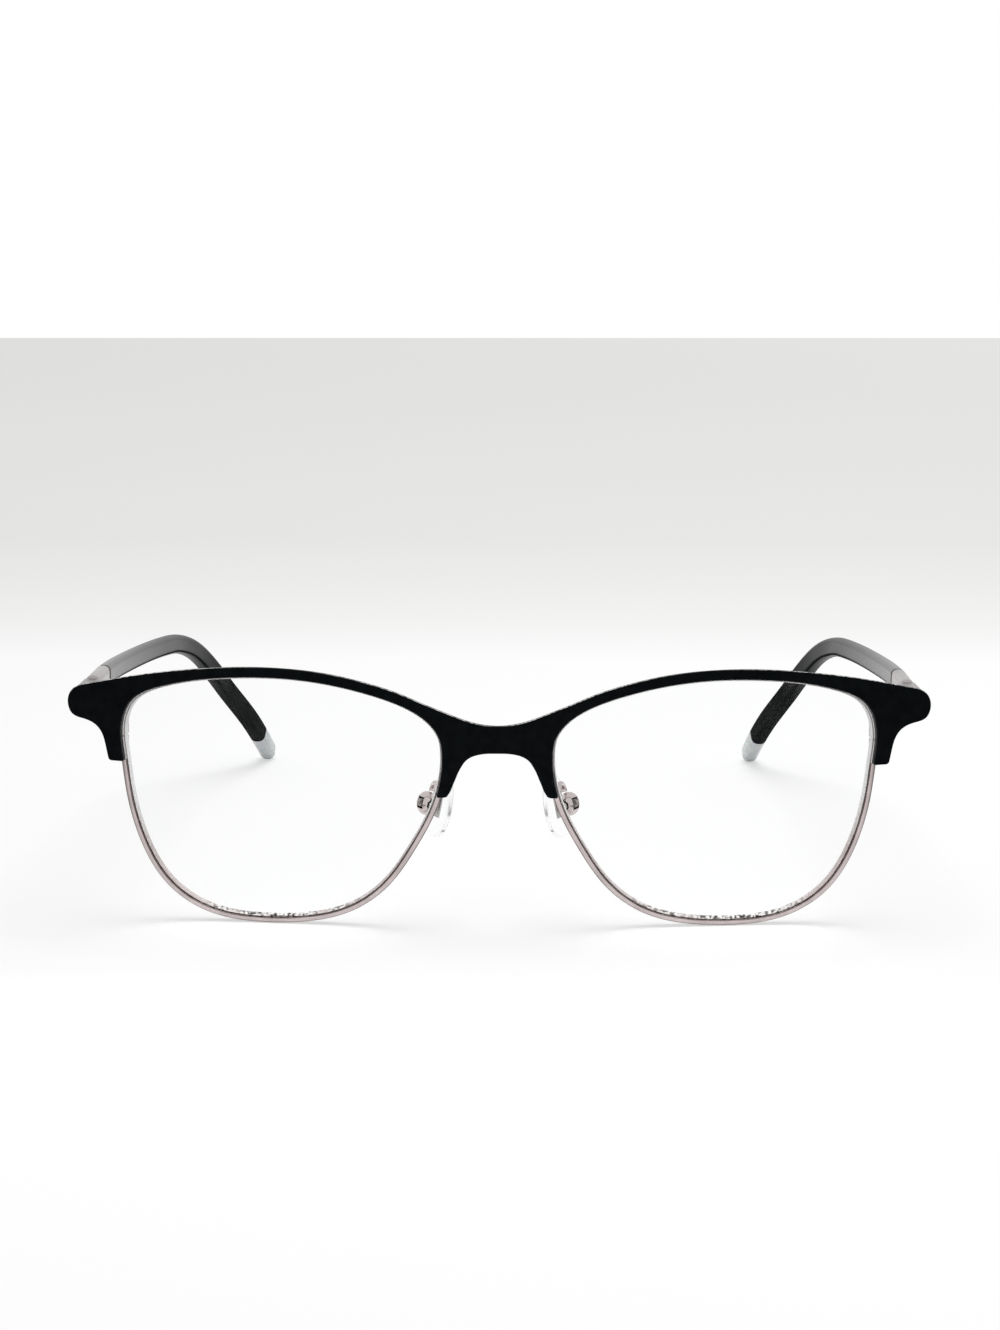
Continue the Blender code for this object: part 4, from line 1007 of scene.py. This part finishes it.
def makeFloor():
    mesh = bpy.data.meshes.new("floor")
    side, near, far = floor["side"], floor["near"], floor["far"]
    slant = side * floor["farSlant"]
    corners = ((-side, near), (side, near), (side, far + slant), (-side, far - slant))
    mesh.from_pydata([(x, y, 0) for x, y in corners], [], [(0, 1, 2, 3)])
    piece = linked("floor", mesh)
    material, tree, shader = startMaterial("paper")
    tree.nodes.remove(shader)
    parts = separated(tree, "TexCoord", "Object")
    tones = [(y, (grey, grey, grey * (floor["warmth"] if y > floor["warmFrom"] else 1)))
             for y, grey in floor["tones"]]
    tone, change, reach = graded(tree, parts["Y"], tones), floor["paintedSideLight"] / 2, floor["sideReach"]
    lean = between(tree, parts["X"], 1 - change, 1 + change, -reach, reach)
    # painted dark reflection: the paper looks darker to glossy rays beside the glasses
    darkInReflection = floor["darkInReflection"]
    beside = calculated(tree, "ABSOLUTE", parts["X"])
    beyond = calculated(tree, "ABSOLUTE", calculated(tree, "SUBTRACT", parts["Y"], darkInReflection["middle"]))
    outward = calculated(tree, "SUBTRACT", beside, calculated(tree, "MULTIPLY", beyond, darkInReflection["wedge"]))
    reflectionDarkened = calculated(tree, "MULTIPLY", output(tree, "LightPath", "Is Glossy Ray"),
                        between(tree, outward, 0, 1 - darkInReflection["dark"], darkInReflection["from"], darkInReflection["to"]))
    amount = calculated(tree, "MULTIPLY", lean, calculated(tree, "SUBTRACT", 1, reflectionDarkened))
    shaded = added(tree, "VectorMath", {0: tone, 1: amount}, operation="MULTIPLY").outputs["Vector"]
    matt, own = [added(tree, kind, {"Color": shaded}) for kind in ("BsdfDiffuse", "Emission")]
    seen = seenDirectly(tree, "Is Glossy Ray", "Is Transmission Ray")
    showMixed(tree, "Material", calculated(tree, "MULTIPLY", seen, floor["ownLight"]), matt, own)
    mesh.materials.append(material)


def roomTone(tree, height, tone, above):  # the lighter of a tone round the room and the ceiling
    return calculated(tree, "MAXIMUM", tone, between(tree, height, 0, 1, *above))


def makeLight():
    world = bpy.data.worlds.new("studio")
    scene.world = world
    world.use_nodes = True
    tree, room = world.node_tree, light["reflected"]
    parts = separated(tree, "TexCoord", "Generated")
    rear = between(tree, parts["Y"], light["front"], 1, *light["behind"])
    lit = connect(tree, tree.nodes["Background"], {
        "Color": roomTone(tree, parts["Z"], rear, light["above"]), "Strength": light["world"]})
    aside = calculated(tree, "ABSOLUTE", parts["X"])
    walls = between(tree, aside, room["light"], room["dark"], *room["sides"])
    reflected = added(tree, "Background", {
        "Color": roomTone(tree, parts["Z"], walls, room["above"]), "Strength": room["strength"]})
    white = added(tree, "Background", {"Color": (1, 1, 1, 1)})
    inner = mixedShader(tree, output(tree, "LightPath", "Is Glossy Ray"), lit, reflected)
    showMixed(tree, "World", seenDirectly(tree, "Is Transmission Ray"), inner, white)
    lamp = bpy.data.lights.new("overhead", "AREA")
    lamp.shape, lamp.size, lamp.energy = "DISK", light["lampSize"], light["lampPower"]
    holder = linked("overhead", lamp)
    holder.location = light["lampPlace"]
    holder.visible_glossy = False


def makeCamera():
    data = bpy.data.cameras.new("camera")
    data.sensor_width = cameraView["sensor"]
    data.lens = cameraView["focalPixels"] * cameraView["sensor"] / cameraView["imageHeight"]
    data.clip_start, data.clip_end = 0.01, 30
    camera = linked("camera", data)
    yaw, pitch, roll = cameraView["yaw"], cameraView["pitch"], cameraView["roll"]
    ahead = Vector((-math.sin(yaw) * math.cos(pitch), math.cos(yaw) * math.cos(pitch), -math.sin(pitch)))
    right = Vector((math.cos(yaw), math.sin(yaw), 0))
    up = right.cross(ahead)
    right, up = (right * math.cos(roll) + up * math.sin(roll), up * math.cos(roll) - right * math.sin(roll))
    axes = Matrix((right, up, -ahead)).transposed().to_4x4()
    camera.matrix_world = Matrix.Translation(cameraView["place"]) @ axes
    scene.camera = camera


makeFloor()
makeLight()
makeCamera()
scene.view_settings.view_transform = "Standard"
print("floor, light and camera made")
